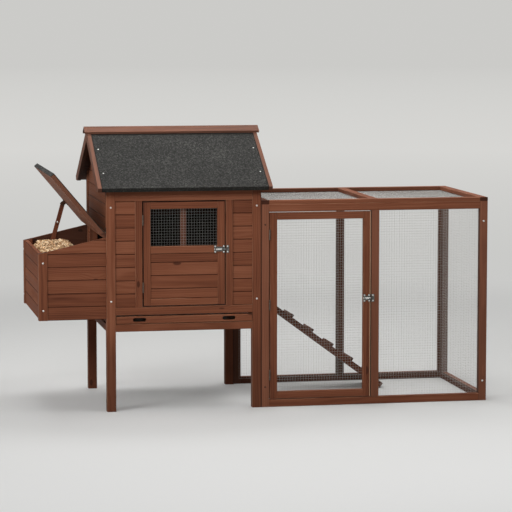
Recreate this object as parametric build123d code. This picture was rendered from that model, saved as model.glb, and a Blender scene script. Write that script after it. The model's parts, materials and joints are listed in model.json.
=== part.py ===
from build123d import *
import os
from math import ceil, cos, hypot, radians, sin, sqrt, tan

# Chicken coop on legs with a nest box on its left and a netted run on its right.
# Millimetres, +Z up. The front faces -Y, the nest box is at -X and the run at +X.
# The origin is on the ground, under the middle of the whole assembly.

# Overall layout
COOP_WIDTH = 627
NEST_REACH = 270
RUN_LENGTH = 945
DEPTH = 650

# Timber of the coop
POST = 36
FRAME_T = 22
BOARD_T = 12
BOARD_RECESS = 5
BOARD_BEVEL = 2.5
BATTEN_W = 30
BATTEN_T = 20
EASE = 1.5

# Front of the coop, from the ground up
LEG_HEIGHT = 322
LOWER_RAIL = 30
TRAY_MOUTH = 36
SILL_RAIL = 32
DOOR_OPENING_H = 424
TOP_RAIL = 64

# Front of the coop, across
DOOR_OPENING_W = 338
JAMB = 29
BOARD_ROWS = 8

# Doors
DOOR_GAP = 3
DOOR_STILE = 30
DOOR_RAIL = 29
DOOR_T = 20
WINDOW_H = 150
DOOR_BOARD_RECESS = 4
DOOR_FIRST_ROW = 40
MULLION = 24
MULLION_T = 12
MULLION_LAP = 18

# Roof
ROOF_PITCH = 30
EAVE_OVERHANG = 38
SIDE_OVERHANG = 38
ROOF_T = 15
FELT_T = 3
BARGE_T = 15
BARGE_H = 40
RIDGE_W = 26
RIDGE_T = 10
RIDGE_END = 10

# Pull-out tray
TRAY_GAP = 2
TRAY_FRONT_T = 16
TRAY_FRONT_H = 29
TRAY_SHEET = 1.2
TRAY_LIP = 24
TRAY_SIDE_GAP = 4
TRAY_BACK_GAP = 45
RUNNER_W = 40
RUNNER_PLAY = 0.5
SLOT_LENGTH = 54
SLOT_HEIGHT = 16
SLOT_SPACING = 363

# Perch
PERCH = 34
PERCH_UP = 402
PERCH_Y = 110
PERCH_ROUND = 8
PERCH_BRACKET_T = 18
PERCH_BRACKET_H = 40

# Opening from the coop to the run
POP_W = 210
POP_H = 225
POP_UP = 128
POP_Y = 150

# Nest box
NEST_RISE = 50
NEST_HEIGHT = 328
NEST_SETBACK = 12
NEST_POST = 36
NEST_BOARD_RECESS = 4
NEST_FLOOR_UP = 12
NEST_FLOOR_T = 12
NEST_OPENING_LIP = 20
NEST_OPENING_H = 272
NEST_OPENING_SIDE = 40
NEST_SLOPE = 13
SHAVINGS_H = 250
SHAVINGS_SIDE = 30
SHAVINGS_END = 4
SHAVINGS_SHOULDER = 232
SHAVINGS_CROWN = 40
SHAVINGS_CREST = 100
SHAVINGS_LOW = 120

# Nest lid and its folding stay
LID_OPEN = 63
LID_LENGTH = 310
LID_T = 15
LID_SIDE_LAP = 12
LID_EDGE_GAP = 5
LID_SEAT_GAP = 1
STAY_W = 18
STAY_T = 5
STAY_PLAY = 0.3
STAY_WALL_OUT = 148
STAY_WALL_DROP = 31
STAY_LID_OUT = 118
STAY_LID_DROP = 12
STAY_PIVOT_R = 2.5
STAY_RIVET_R = 4.5
STAY_RIVET_H = 2
STAY_BRACKET_W = 22
STAY_BRACKET_LENGTH = 34
STAY_BRACKET_T = 2

# Run
RUN_BELOW_WALL_TOP = 68
RUN_STILE = 33
RUN_T = 24
RUN_BOTTOM_RAIL = 30
RUN_TOP_RAIL = 31
RUN_TOP_T = 16

# Wire netting
NET_PITCH = 38
NET_WIRE = 2.4
NET_LAP = 8
NET_T = 2

# Ramp
RAMP_REACH = 640
RAMP_W = 160
RAMP_T = 24
RAMP_END_GAP = 8
RAMP_TOP_DROP = 6
RAMP_FOOT_UP = 0.5
CLEAT = 12
CLEAT_PITCH = 107
CLEAT_FIRST = 150

# Hinges
HINGE_R = 3
HINGE_PIN_R = 1.6
PIN_CLEARANCE = 0.05
PIN_HEAD_H = 1.2
KNUCKLE_GAP = 0.3
LEAF_T = 1.2
LEAF_W = 18
LEAF_LIFT = 0.1
DOOR_HINGE_LENGTH = 40
LID_HINGE_LENGTH = 32
COOP_HINGE_UP = (77, 347)
RUN_HINGE_UP = (100, 385, 670)

# Barrel bolts
BOLT_PLATE_T = 1.5
BOLT_PLATE_H = 32
BOLT_FLANGE = 9
BOLT_WAIST = 19
BOLT_CORNER = 3
COOP_BOLT_PLATE = 44
COOP_BOLT_BARREL = 12
RUN_BOLT_PLATE = 29
RUN_BOLT_BARREL = 3
BOLT_R = 3.5
BOLT_PLAY = 0.3
BOLT_STRAP = 3
BOLT_STRAP_WALL = 2
BOLT_STRAP_INSET = 2
BOLT_KNOB_R = 2.5
BOLT_KNOB_OUT = 12
BOLT_EDGE_INSET = 1
KEEPER_LENGTH = 12
KEEPER_STRAP_IN = 4
RUN_BOLT_UP = 403

# Screw heads
SCREW_R = 4.5
SCREW_H = 2.2
SCREW_ROUND = 1.2
COOP_SCREW_ENDS = 24
ROOF_SCREW_IN = 18
NEST_SCREW_END = 40
RUN_SCREW_END = 82

# Places worked out from the sizes above
TOTAL_LENGTH = NEST_REACH + COOP_WIDTH + RUN_LENGTH
NEST_END_X = -TOTAL_LENGTH / 2
COOP_LEFT_X = NEST_END_X + NEST_REACH
COOP_RIGHT_X = COOP_LEFT_X + COOP_WIDTH
RUN_RIGHT_X = COOP_RIGHT_X + RUN_LENGTH
COOP_MIDDLE_X = (COOP_LEFT_X + COOP_RIGHT_X) / 2
FRONT_Y = -DEPTH / 2
BACK_Y = DEPTH / 2

LOWER_RAIL_TOP = LEG_HEIGHT + LOWER_RAIL
SILL_Z = LOWER_RAIL_TOP + TRAY_MOUTH
DOORWAY_Z = SILL_Z + SILL_RAIL
DOORWAY_TOP = DOORWAY_Z + DOOR_OPENING_H
WALL_TOP = DOORWAY_TOP + TOP_RAIL
ROW = DOOR_OPENING_H / BOARD_ROWS

DOORWAY_LEFT = COOP_MIDDLE_X - DOOR_OPENING_W / 2
DOORWAY_RIGHT = COOP_MIDDLE_X + DOOR_OPENING_W / 2
DOOR_X = (DOORWAY_LEFT + DOOR_GAP, DOORWAY_RIGHT - DOOR_GAP)
DOOR_Z = (DOORWAY_Z + DOOR_GAP, DOORWAY_TOP - DOOR_GAP)
DOOR_Y = (FRONT_Y, FRONT_Y + DOOR_T)
MID_RAIL_TOP = DOOR_Z[1] - DOOR_RAIL - WINDOW_H
MID_RAIL_Z = (MID_RAIL_TOP - DOOR_RAIL, MID_RAIL_TOP)

PITCH = radians(ROOF_PITCH)
RIDGE_Z = WALL_TOP + DEPTH / 2 * tan(PITCH)
EAVE_S = (DEPTH / 2 + EAVE_OVERHANG) / cos(PITCH)
ROOF_X = (COOP_LEFT_X - SIDE_OVERHANG + BARGE_T, COOP_RIGHT_X + SIDE_OVERHANG - BARGE_T)

TRAY_Z = LOWER_RAIL_TOP + TRAY_GAP
RUNNER_TOP = TRAY_Z - RUNNER_PLAY

SIDE_Y = (FRONT_Y + POST, BACK_Y - POST)
LEFT_BOARD_X = (COOP_LEFT_X + BOARD_RECESS, COOP_LEFT_X + BOARD_RECESS + BOARD_T)
RIGHT_BOARD_X = (COOP_RIGHT_X - BOARD_RECESS - BOARD_T, COOP_RIGHT_X - BOARD_RECESS)
POP_Z = (LOWER_RAIL_TOP + POP_UP, LOWER_RAIL_TOP + POP_UP + POP_H)

NEST_BOTTOM = LEG_HEIGHT + NEST_RISE
NEST_TOP = NEST_BOTTOM + NEST_HEIGHT
NEST_TILT = radians(NEST_SLOPE)
NEST_HALF = DEPTH / 2 - NEST_SETBACK
NEST_BOARD_OUT = NEST_HALF - NEST_BOARD_RECESS
NEST_BOARD_IN = NEST_BOARD_OUT - BOARD_T
NEST_FLOOR_TOP = NEST_BOTTOM + NEST_FLOOR_UP + NEST_FLOOR_T
NEST_OPENING_Z = (NEST_FLOOR_TOP + NEST_OPENING_LIP, NEST_FLOOR_TOP + NEST_OPENING_LIP + NEST_OPENING_H)
NEST_OPENING_Y = (SIDE_Y[0] + NEST_OPENING_SIDE, SIDE_Y[1] - NEST_OPENING_SIDE)

LEAF_OFFSET = HINGE_R + LEAF_LIFT
LID_UNDER = LEAF_OFFSET + FELT_T + LID_T
LID_AXIS_X = COOP_LEFT_X - LEAF_OFFSET
LID_AXIS_Z = NEST_TOP + (LID_UNDER + LID_SEAT_GAP - LEAF_OFFSET * sin(NEST_TILT)) / cos(NEST_TILT)

RUN_TOP_Z = WALL_TOP - RUN_BELOW_WALL_TOP
RUN_WALL_Z = RUN_TOP_Z - RUN_TOP_T
RUN_BAY_Z = (RUN_BOTTOM_RAIL, RUN_WALL_Z - RUN_TOP_RAIL)
RUN_LEFT_IN = COOP_RIGHT_X + RUN_STILE
RUN_RIGHT_IN = RUN_RIGHT_X - RUN_STILE
RUN_MIDDLE_X = (COOP_RIGHT_X + RUN_RIGHT_X) / 2
RUN_MID_X = (RUN_MIDDLE_X - RUN_STILE / 2, RUN_MIDDLE_X + RUN_STILE / 2)
RUN_DOOR_X = (RUN_LEFT_IN + DOOR_GAP, RUN_MID_X[0] - DOOR_GAP)
RUN_DOOR_Z = (RUN_BAY_Z[0] + DOOR_GAP, RUN_BAY_Z[1] - DOOR_GAP)

HINGE_FRONT_Y = FRONT_Y - LEAF_OFFSET
RAMP_AXIS_X = COOP_RIGHT_X - BOARD_RECESS + LEAF_OFFSET
RAMP_AXIS_Z = POP_Z[0] - RAMP_TOP_DROP
RAMP_RUN = RAMP_REACH / hypot(RAMP_REACH, RAMP_AXIS_Z)
RAMP_DROP = RAMP_AXIS_Z / hypot(RAMP_REACH, RAMP_AXIS_Z)
RAMP_LENGTH = (RAMP_AXIS_Z - RAMP_FOOT_UP - (LEAF_OFFSET + RAMP_T) * RAMP_RUN) / RAMP_DROP


def block(x, y, z):
    """Block that fills three (low, high) spans."""
    size = (x[1] - x[0], y[1] - y[0], z[1] - z[0])
    return Pos(x[0], y[0], z[0]) * Box(*size, align=(Align.MIN, Align.MIN, Align.MIN))


def timber(x, y, z):
    """Planed stick: a block with its four long edges eased."""
    solid = block(x, y, z)
    lengths = {Axis.X: x[1] - x[0], Axis.Y: y[1] - y[0], Axis.Z: z[1] - z[0]}
    grain = max(lengths, key=lengths.get)
    return chamfer(solid.edges().filter_by(grain), EASE)


def board(x, y, z, outward):
    """Cladding board with the long edges of its outer face bevelled, so that rows meet in a V."""
    solid = block(x, y, z)
    outer = solid.faces().sort_by(Axis((0, 0, 0), outward))[-1]
    bevel = min(BOARD_BEVEL, (z[1] - z[0]) / 3)
    return chamfer(outer.edges().filter_by(Axis.Z, reverse=True), bevel)


def clad(x, y, z, outward, first=ROW):
    """Rows of boards from z[0] up to z[1], with a first row of its own height."""
    count = 1 + ceil((z[1] - z[0] - first) / ROW)
    lines = [z[0]] + [z[0] + first + ROW * row for row in range(count - 1)] + [z[1]]
    return [board(x, y, pair, outward) for pair in zip(lines, lines[1:])]


def trimmed(solids, keep, cut=None):
    """The solids' shares inside one shape and outside another."""
    shares = [solid & keep for solid in solids]
    if cut is not None:
        shares = [share - cut for share in shares]
    return [piece for share in shares for piece in share.solids()]


def prism_x(points, x):
    """Solid with a section of (y, z) points, from x[0] to x[1]."""
    return extrude(Plane.YZ.offset(x[0]) * Polygon(*points), amount=x[1] - x[0], dir=(1, 0, 0))


def prism_y(points, y):
    """Solid with a section of (x, z) points, from y[0] to y[1]."""
    return extrude(Plane.XZ.offset(-y[0]) * Polygon(*points), amount=y[1] - y[0], dir=(0, 1, 0))


def rod(start, direction, radius, length):
    """Round bar from a point along a direction."""
    return Plane(origin=start, z_dir=direction).location * Cylinder(
        radius, length, align=(Align.CENTER, Align.CENTER, Align.MIN)
    )


def mirrored(solid):
    """The same piece on the other side of the middle plane, front for back."""
    return mirror(solid, about=Plane.XZ)


def roof_point(s, h, side):
    """Point (y, z) at s down the slope and h above the roof's underside; side is -1 at the front."""
    return (side * (s * cos(PITCH) + h * sin(PITCH)), RIDGE_Z - s * sin(PITCH) + h * cos(PITCH))


def roof_section(outline, side):
    """Section points of a roof layer from (s, h) pairs; s of None is the plumb cut at the ridge."""
    return [roof_point(-h * tan(PITCH) if s is None else s, h, side) for s, h in outline]


def under_roof():
    """All the space under the roof panels, over the coop's whole width."""
    eave_y, eave_z = roof_point(EAVE_S, 0, 1)
    points = [(-eave_y, 0), (eave_y, 0), (eave_y, eave_z), (0, RIDGE_Z), (-eave_y, eave_z)]
    return prism_x(points, (COOP_LEFT_X, COOP_RIGHT_X))


def nest_top_at(x):
    """Height of the nest box's sloping rim."""
    return NEST_TOP - (COOP_LEFT_X - x) * tan(NEST_TILT)


def under_nest_rim():
    """All the space under the nest box's sloping rim."""
    points = [
        (NEST_END_X, 0),
        (COOP_LEFT_X, 0),
        (COOP_LEFT_X, NEST_TOP),
        (NEST_END_X, nest_top_at(NEST_END_X)),
    ]
    return prism_y(points, (FRONT_Y, BACK_Y))


def net(plane, u, v):
    """Square netting in a plane, over two (low, high) spans: one holed face given its thickness."""
    columns = round((u[1] - u[0]) / NET_PITCH)
    rows = round((v[1] - v[0]) / NET_PITCH)
    step_u = (u[1] - u[0] - NET_WIRE) / columns
    step_v = (v[1] - v[0] - NET_WIRE) / rows

    def outline(low_u, high_u, low_v, high_v):
        corners = [(low_u, low_v), (high_u, low_v), (high_u, high_v), (low_u, high_v)]
        return Wire.make_polygon([plane.from_local_coords(corner) for corner in corners])

    gaps = []
    for column in range(columns):
        left = u[0] + NET_WIRE + column * step_u
        for row in range(rows):
            low = v[0] + NET_WIRE + row * step_v
            gaps.append(outline(left, left + step_u - NET_WIRE, low, low + step_v - NET_WIRE))
    return extrude(Face(outline(*u, *v), gaps), amount=NET_T, dir=plane.z_dir)


def facing_front(y):
    """Plane across the front at a given depth: u is X, v is Z, thickness runs to the back."""
    return Plane(origin=(0, y, 0), x_dir=(1, 0, 0), z_dir=(0, -1, 0))


def hinge_spans(length):
    """Lengths along the pin: the two outer knuckles and the middle one."""
    third = length / 3
    outer = [(0, third - KNUCKLE_GAP), (2 * third + KNUCKLE_GAP, length)]
    return outer, [(third, 2 * third)]


def hinge_leaf(spans, length, face):
    """Leaf with its knuckles in its own frame: pin along Z, plate along +X, wood at y = face."""
    plate_y = sorted((face, face - LEAF_T if face > 0 else face + LEAF_T))
    leaf = block((HINGE_R + KNUCKLE_GAP, LEAF_W), plate_y, (0, length))
    for low, high in spans:
        leaf += block((0, HINGE_R + KNUCKLE_GAP), plate_y, (low, high))
        leaf += rod((0, 0, low), (0, 0, 1), HINGE_R, high - low)
    return leaf - rod((0, 0, 0), (0, 0, 1), HINGE_PIN_R + PIN_CLEARANCE, length)


def hinge_pin(length):
    """Pin with a flat head on top, in the hinge's own frame."""
    pin = rod((0, 0, 0), (0, 0, 1), HINGE_PIN_R, length + KNUCKLE_GAP)
    return pin + rod((0, 0, length + KNUCKLE_GAP), (0, 0, 1), HINGE_R, PIN_HEAD_H)


def placed(solid, origin, x_dir, z_dir):
    """Solid moved from its own frame to a point with two given directions."""
    return Plane(origin=origin, x_dir=x_dir, z_dir=z_dir).location * solid


def butt_hinges(axis_x, heights, length):
    """Leaves of hinges set in the gap beside a door: frame leaves, door leaves and pins."""
    outer, middle = hinge_spans(length)
    frame_leaf = hinge_leaf(outer, length, DOOR_GAP / 2)
    door_leaf = hinge_leaf(middle, length, -DOOR_GAP / 2)
    spots = [((axis_x, HINGE_FRONT_Y, z - length / 2), (0, 1, 0), (0, 0, 1)) for z in heights]
    return (
        [placed(frame_leaf, *spot) for spot in spots],
        [placed(door_leaf, *spot) for spot in spots],
        [placed(hinge_pin(length), *spot) for spot in spots],
    )


def screw(point, outward):
    """Head of a pan-head wood screw on a face."""
    head = rod(point, outward, SCREW_R, SCREW_H)
    rim = head.edges().filter_by(GeomType.CIRCLE).sort_by(Axis((0, 0, 0), outward))[-1]
    return fillet(rim, SCREW_ROUND)


def coop_frame():
    """Posts, rails and jambs of the coop."""
    low_x = (COOP_LEFT_X, COOP_LEFT_X + POST)
    high_x = (COOP_RIGHT_X - POST, COOP_RIGHT_X)
    front_y = (FRONT_Y, FRONT_Y + POST)
    sticks = [timber(x, front_y, (0, RIDGE_Z)) for x in (low_x, high_x)]
    front_posts = trimmed(sticks, under_roof())

    between = (COOP_LEFT_X + POST, COOP_RIGHT_X - POST)
    rail_y = (FRONT_Y, FRONT_Y + FRAME_T)
    lower = timber(between, rail_y, (LEG_HEIGHT, LOWER_RAIL_TOP))
    sill = timber(between, rail_y, (SILL_Z, DOORWAY_Z))
    top = timber(between, rail_y, (DOORWAY_TOP, WALL_TOP))
    jamb_z = (DOORWAY_Z, DOORWAY_TOP)
    return {
        "coop_posts": front_posts + [mirrored(post) for post in front_posts],
        "coop_rails": [lower, sill, top, mirrored(lower), mirrored(top)],
        "coop_door_jambs": [
            timber((DOORWAY_LEFT - JAMB, DOORWAY_LEFT), rail_y, jamb_z),
            timber((DOORWAY_RIGHT, DOORWAY_RIGHT + JAMB), rail_y, jamb_z),
        ],
    }


def coop_walls():
    """Board cladding of the four walls, with what stiffens the openings."""
    front_y = (FRONT_Y + BOARD_RECESS, FRONT_Y + BOARD_RECESS + BOARD_T)
    back_y = (BACK_Y - BOARD_RECESS - BOARD_T, BACK_Y - BOARD_RECESS)
    front_z = (DOORWAY_Z, DOORWAY_TOP)
    side_z = (LOWER_RAIL_TOP, RIDGE_Z)
    left_of_door = (COOP_LEFT_X + POST, DOORWAY_LEFT - JAMB)
    right_of_door = (DOORWAY_RIGHT + JAMB, COOP_RIGHT_X - POST)
    across = (COOP_LEFT_X + POST, COOP_RIGHT_X - POST)
    nest_hole = block((COOP_LEFT_X, LEFT_BOARD_X[1]), NEST_OPENING_Y, NEST_OPENING_Z)
    pop_y = (POP_Y - POP_W / 2, POP_Y + POP_W / 2)
    pop_hole = block((RIGHT_BOARD_X[0], COOP_RIGHT_X), pop_y, POP_Z)
    left_rows = clad(LEFT_BOARD_X, SIDE_Y, side_z, (-1, 0, 0))
    right_rows = clad(RIGHT_BOARD_X, SIDE_Y, side_z, (1, 0, 0))
    rail_z = (LEG_HEIGHT, LOWER_RAIL_TOP)
    batten_z = (RUNNER_TOP, WALL_TOP)

    def battens(x, hole_y):
        spans = [(hole_y[0] - BATTEN_W, hole_y[0]), (hole_y[1], hole_y[1] + BATTEN_W)]
        return [timber(x, span, batten_z) for span in spans]

    left_batten_x = (LEFT_BOARD_X[1], LEFT_BOARD_X[1] + BATTEN_T)
    right_batten_x = (RIGHT_BOARD_X[0] - BATTEN_T, RIGHT_BOARD_X[0])
    return {
        "coop_front_boards": clad(left_of_door, front_y, front_z, (0, -1, 0))
        + clad(right_of_door, front_y, front_z, (0, -1, 0)),
        "coop_back_boards": clad(across, back_y, (LOWER_RAIL_TOP, DOORWAY_TOP), (0, 1, 0)),
        "coop_left_boards": trimmed(left_rows, under_roof(), nest_hole),
        "coop_right_boards": trimmed(right_rows, under_roof(), pop_hole),
        "coop_side_rails": [
            timber((COOP_LEFT_X, COOP_LEFT_X + FRAME_T), SIDE_Y, rail_z),
            timber((COOP_RIGHT_X - FRAME_T, COOP_RIGHT_X), SIDE_Y, rail_z),
        ],
        "coop_side_battens": battens(left_batten_x, NEST_OPENING_Y) + battens(right_batten_x, pop_y),
    }


def coop_inside():
    """Runners for the tray, and the perch on its two brackets."""
    left_runner_x = (COOP_LEFT_X + FRAME_T, COOP_LEFT_X + FRAME_T + RUNNER_W)
    right_runner_x = (COOP_RIGHT_X - FRAME_T - RUNNER_W, COOP_RIGHT_X - FRAME_T)
    runner_z = (LEG_HEIGHT, RUNNER_TOP)
    perch_x = (LEFT_BOARD_X[1], RIGHT_BOARD_X[0])
    perch_y = (PERCH_Y - PERCH / 2, PERCH_Y + PERCH / 2)
    perch_z = LOWER_RAIL_TOP + PERCH_UP
    perch = block(perch_x, perch_y, (perch_z, perch_z + PERCH))
    top_edges = perch.faces().sort_by(Axis.Z)[-1].edges().filter_by(Axis.X)
    bracket_z = (perch_z - PERCH_BRACKET_H, perch_z)
    left_bracket_x = (perch_x[0], perch_x[0] + PERCH_BRACKET_T)
    right_bracket_x = (perch_x[1] - PERCH_BRACKET_T, perch_x[1])
    return {
        "tray_runners": [timber(x, SIDE_Y, runner_z) for x in (left_runner_x, right_runner_x)],
        "perch": [fillet(top_edges, PERCH_ROUND)],
        "perch_brackets": [block(x, perch_y, bracket_z) for x in (left_bracket_x, right_bracket_x)],
    }


def roof():
    """Two panels, their felt turned down over the eaves, barge boards with level tails, and ridge planks."""
    felt_top = ROOF_T + FELT_T
    felt_end = EAVE_S + FELT_T
    panel = [(None, 0), (EAVE_S, 0), (EAVE_S, ROOF_T), (None, ROOF_T)]
    felt = [
        (None, ROOF_T),
        (EAVE_S, ROOF_T),
        (EAVE_S, 0),
        (felt_end, 0),
        (felt_end, felt_top),
        (None, felt_top),
    ]
    barge_low = felt_top - BARGE_H
    tail = felt_end + barge_low / tan(PITCH)
    barge = [(None, barge_low), (tail, barge_low), (felt_end, 0), (felt_end, felt_top), (None, felt_top)]
    cap_top = felt_top + RIDGE_T
    cap = [(None, felt_top), (RIDGE_W, felt_top), (RIDGE_W, cap_top), (None, cap_top)]
    left_barge_x = (ROOF_X[0] - BARGE_T, ROOF_X[0])
    right_barge_x = (ROOF_X[1], ROOF_X[1] + BARGE_T)
    cap_x = (left_barge_x[0] - RIDGE_END, right_barge_x[1] + RIDGE_END)
    sides = (-1, 1)
    return {
        "roof_panels": [prism_x(roof_section(panel, side), ROOF_X) for side in sides],
        "roof_felt": [prism_x(roof_section(felt, side), ROOF_X) for side in sides],
        "barge_boards": [
            prism_x(roof_section(barge, side), x) for side in sides for x in (left_barge_x, right_barge_x)
        ],
        "ridge_planks": [prism_x(roof_section(cap, side), cap_x) for side in sides],
    }


def nest_box():
    """Walls, corner posts and floor of the nest box, and the shavings in it."""
    rim = under_nest_rim()
    rows_z = (NEST_BOTTOM, NEST_TOP)
    post_y = (-NEST_HALF, -NEST_HALF + NEST_POST)
    post = timber((NEST_END_X, NEST_END_X + NEST_POST), post_y, rows_z)
    front_post = trimmed([post], rim)
    posts = front_post + [mirrored(piece) for piece in front_post]

    side_x = (NEST_END_X + NEST_POST, COOP_LEFT_X)
    front_rows = clad(side_x, (-NEST_BOARD_OUT, -NEST_BOARD_IN), rows_z, (0, -1, 0))
    front_boards = trimmed(front_rows, rim)
    end_x = (NEST_END_X + NEST_BOARD_RECESS, NEST_END_X + NEST_BOARD_RECESS + BOARD_T)
    end_rows = clad(end_x, (post_y[1], -post_y[1]), (NEST_BOTTOM, nest_top_at(end_x[1])), (-1, 0, 0))

    floor_z = (NEST_BOTTOM + NEST_FLOOR_UP, NEST_FLOOR_TOP)
    floor = block((end_x[1], COOP_LEFT_X), (-NEST_BOARD_IN, NEST_BOARD_IN), floor_z)
    for piece in posts:
        floor -= piece
    return {
        "nest_corner_posts": posts,
        "nest_side_boards": front_boards + [mirrored(piece) for piece in front_boards],
        "nest_end_boards": trimmed(end_rows, rim),
        "nest_floor": [floor],
        "nest_shavings": [shavings()],
    }


def shavings():
    """Bedding heaped against the nest's outer end, rounded off at its sides and low at the opening."""
    x = (NEST_END_X + NEST_BOARD_RECESS + BOARD_T + SHAVINGS_END, COOP_LEFT_X - SHAVINGS_END)
    half = NEST_BOARD_IN - SHAVINGS_SIDE
    foot = NEST_FLOOR_TOP
    shoulder = foot + SHAVINGS_SHOULDER
    top = foot + SHAVINGS_H
    profile = [
        (x[0], foot),
        (x[0], shoulder),
        (x[0] + SHAVINGS_CROWN, top),
        (x[0] + SHAVINGS_CREST, top),
        (x[1], foot + SHAVINGS_LOW),
        (x[1], foot),
    ]
    section = [
        (-half, foot),
        (-half, shoulder),
        (-half + SHAVINGS_CROWN, top),
        (half - SHAVINGS_CROWN, top),
        (half, shoulder),
        (half, foot),
    ]
    return prism_y(profile, (-half, half)) & prism_x(section, x)


def lid_direction(opened):
    """Direction from the lid's hinge to its free edge, in (x, z), for an opening angle in degrees."""
    angle = radians(180 + NEST_SLOPE - opened)
    return cos(angle), sin(angle)


def lid_point(out, up, opened):
    """Point (x, z) of the lid at a distance out from the hinge and up from the hinge's plane."""
    along_x, along_z = lid_direction(opened)
    return (LID_AXIS_X + out * along_x + up * along_z, LID_AXIS_Z + out * along_z - up * along_x)


def lid_placed(solid):
    """Solid of the lid's own frame, in the open position: x outward, y up through the felt, z to the back."""
    along_x, along_z = lid_direction(LID_OPEN)
    return placed(solid, (LID_AXIS_X, 0, LID_AXIS_Z), (along_x, 0, along_z), (0, 1, 0))


def nest_lid():
    """Lid board, the felt turned down over its free edge, and its two hinges."""
    half = NEST_HALF + LID_SIDE_LAP
    board_out = (LID_EDGE_GAP, LID_LENGTH)
    board_up = (-LID_UNDER, -LID_UNDER + LID_T)
    felt_up = (board_up[1], board_up[1] + FELT_T)
    felt_end = (LID_LENGTH, LID_LENGTH + FELT_T)
    felt = block((LID_EDGE_GAP, felt_end[1]), felt_up, (-half, half))
    felt += block(felt_end, (board_up[0], felt_up[1]), (-half, half))

    outer, middle = hinge_spans(LID_HINGE_LENGTH)
    wall_leaf = hinge_leaf(outer, LID_HINGE_LENGTH, LEAF_OFFSET)
    lid_leaf = hinge_leaf(middle, LID_HINGE_LENGTH, -LEAF_OFFSET)
    pin = hinge_pin(LID_HINGE_LENGTH)
    post_middle = DEPTH / 2 - POST / 2
    starts = [y - LID_HINGE_LENGTH / 2 for y in (-post_middle, post_middle)]
    return {
        "nest_lid_board": [lid_placed(block(board_out, board_up, (-half, half)))],
        "nest_lid_felt": [lid_placed(felt)],
        "nest_lid_leaves": [lid_placed(Pos(0, 0, start) * lid_leaf) for start in starts],
        "nest_wall_leaves": [
            placed(wall_leaf, (LID_AXIS_X, start, LID_AXIS_Z), (0, 0, 1), (0, 1, 0)) for start in starts
        ],
        "hinge_pins": [
            placed(pin, (LID_AXIS_X, start, LID_AXIS_Z), (0, 0, 1), (0, 1, 0)) for start in starts
        ],
    }


def stay_points(opened):
    """The stay's wall pivot, elbow and lid pivot, in (x, z), for an opening angle in degrees."""
    wall_x = COOP_LEFT_X - STAY_WALL_OUT
    wall = (wall_x, nest_top_at(wall_x) - STAY_WALL_DROP)
    lid_up = -LID_UNDER - STAY_LID_DROP
    straight = lid_point(STAY_LID_OUT, lid_up, LID_OPEN)
    arm = hypot(straight[0] - wall[0], straight[1] - wall[1]) / 2
    lid = lid_point(STAY_LID_OUT, lid_up, opened)
    half = hypot(lid[0] - wall[0], lid[1] - wall[1]) / 2
    bow = sqrt(max(arm**2 - half**2, 0))
    unit = ((lid[0] - wall[0]) / half / 2, (lid[1] - wall[1]) / half / 2)
    middle = ((lid[0] + wall[0]) / 2, (lid[1] + wall[1]) / 2)
    return wall, (middle[0] + bow * unit[1], middle[1] - bow * unit[0]), lid


def stay():
    """Two wooden arms that hold the lid open, their pivots, and the bracket under the lid."""
    wall, elbow, lid = stay_points(LID_OPEN)
    lower_y = (NEST_BOARD_IN - STAY_PLAY - STAY_T, NEST_BOARD_IN - STAY_PLAY)
    upper_y = (lower_y[0] - STAY_PLAY - STAY_T, lower_y[0] - STAY_PLAY)
    ear_y = (upper_y[0] - STAY_PLAY - STAY_BRACKET_T, upper_y[0] - STAY_PLAY)
    bore = STAY_PIVOT_R + PIN_CLEARANCE

    def arm(start, end, y):
        length = hypot(end[0] - start[0], end[1] - start[1])
        along = ((end[0] - start[0]) / length, 0, (end[1] - start[1]) / length)
        strip = extrude(Pos(length / 2, 0) * SlotCenterToCenter(length, STAY_W), amount=STAY_T)
        strip -= rod((0, 0, 0), (0, 0, 1), bore, STAY_T)
        return placed(strip, (start[0], y[1], start[1]), along, (0, -1, 0))

    rivet_hole = rod((elbow[0], lower_y[0], elbow[1]), (0, 1, 0), bore, STAY_T)
    rivet = rod((elbow[0], upper_y[0], elbow[1]), (0, -1, 0), STAY_RIVET_R, STAY_RIVET_H)
    wall_pin = rod((wall[0], NEST_BOARD_IN, wall[1]), (0, -1, 0), STAY_PIVOT_R, NEST_BOARD_IN - lower_y[0])
    wall_pin += rod((wall[0], lower_y[0] - STAY_PLAY, wall[1]), (0, -1, 0), STAY_RIVET_R, STAY_RIVET_H)
    wall_pin += rod((wall[0], lower_y[0], wall[1]), (0, -1, 0), STAY_PIVOT_R, STAY_PLAY)

    bracket_out = (STAY_LID_OUT - STAY_BRACKET_LENGTH / 2, STAY_LID_OUT + STAY_BRACKET_LENGTH / 2)
    under = -LID_UNDER
    foot = block(bracket_out, (under - STAY_BRACKET_T, under), (ear_y[1] - STAY_BRACKET_W, ear_y[1]))
    ear_out = (STAY_LID_OUT - STAY_W / 2, STAY_LID_OUT + STAY_W / 2)
    ear = block(ear_out, (under - STAY_LID_DROP - STAY_W / 2, under), ear_y)
    pivot_start = (STAY_LID_OUT, under - STAY_LID_DROP, ear_y[1])
    pivot = rod(pivot_start, (0, 0, 1), STAY_PIVOT_R, upper_y[1] - ear_y[1])
    return {
        "stay_lower_arm": [arm(wall, elbow, lower_y) - rivet_hole],
        "stay_upper_arm": [arm(lid, elbow, upper_y) + rivet],
        "stay_wall_pivot": [wall_pin],
        "stay_lid_bracket": [lid_placed(foot + ear + pivot)],
    }


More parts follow.
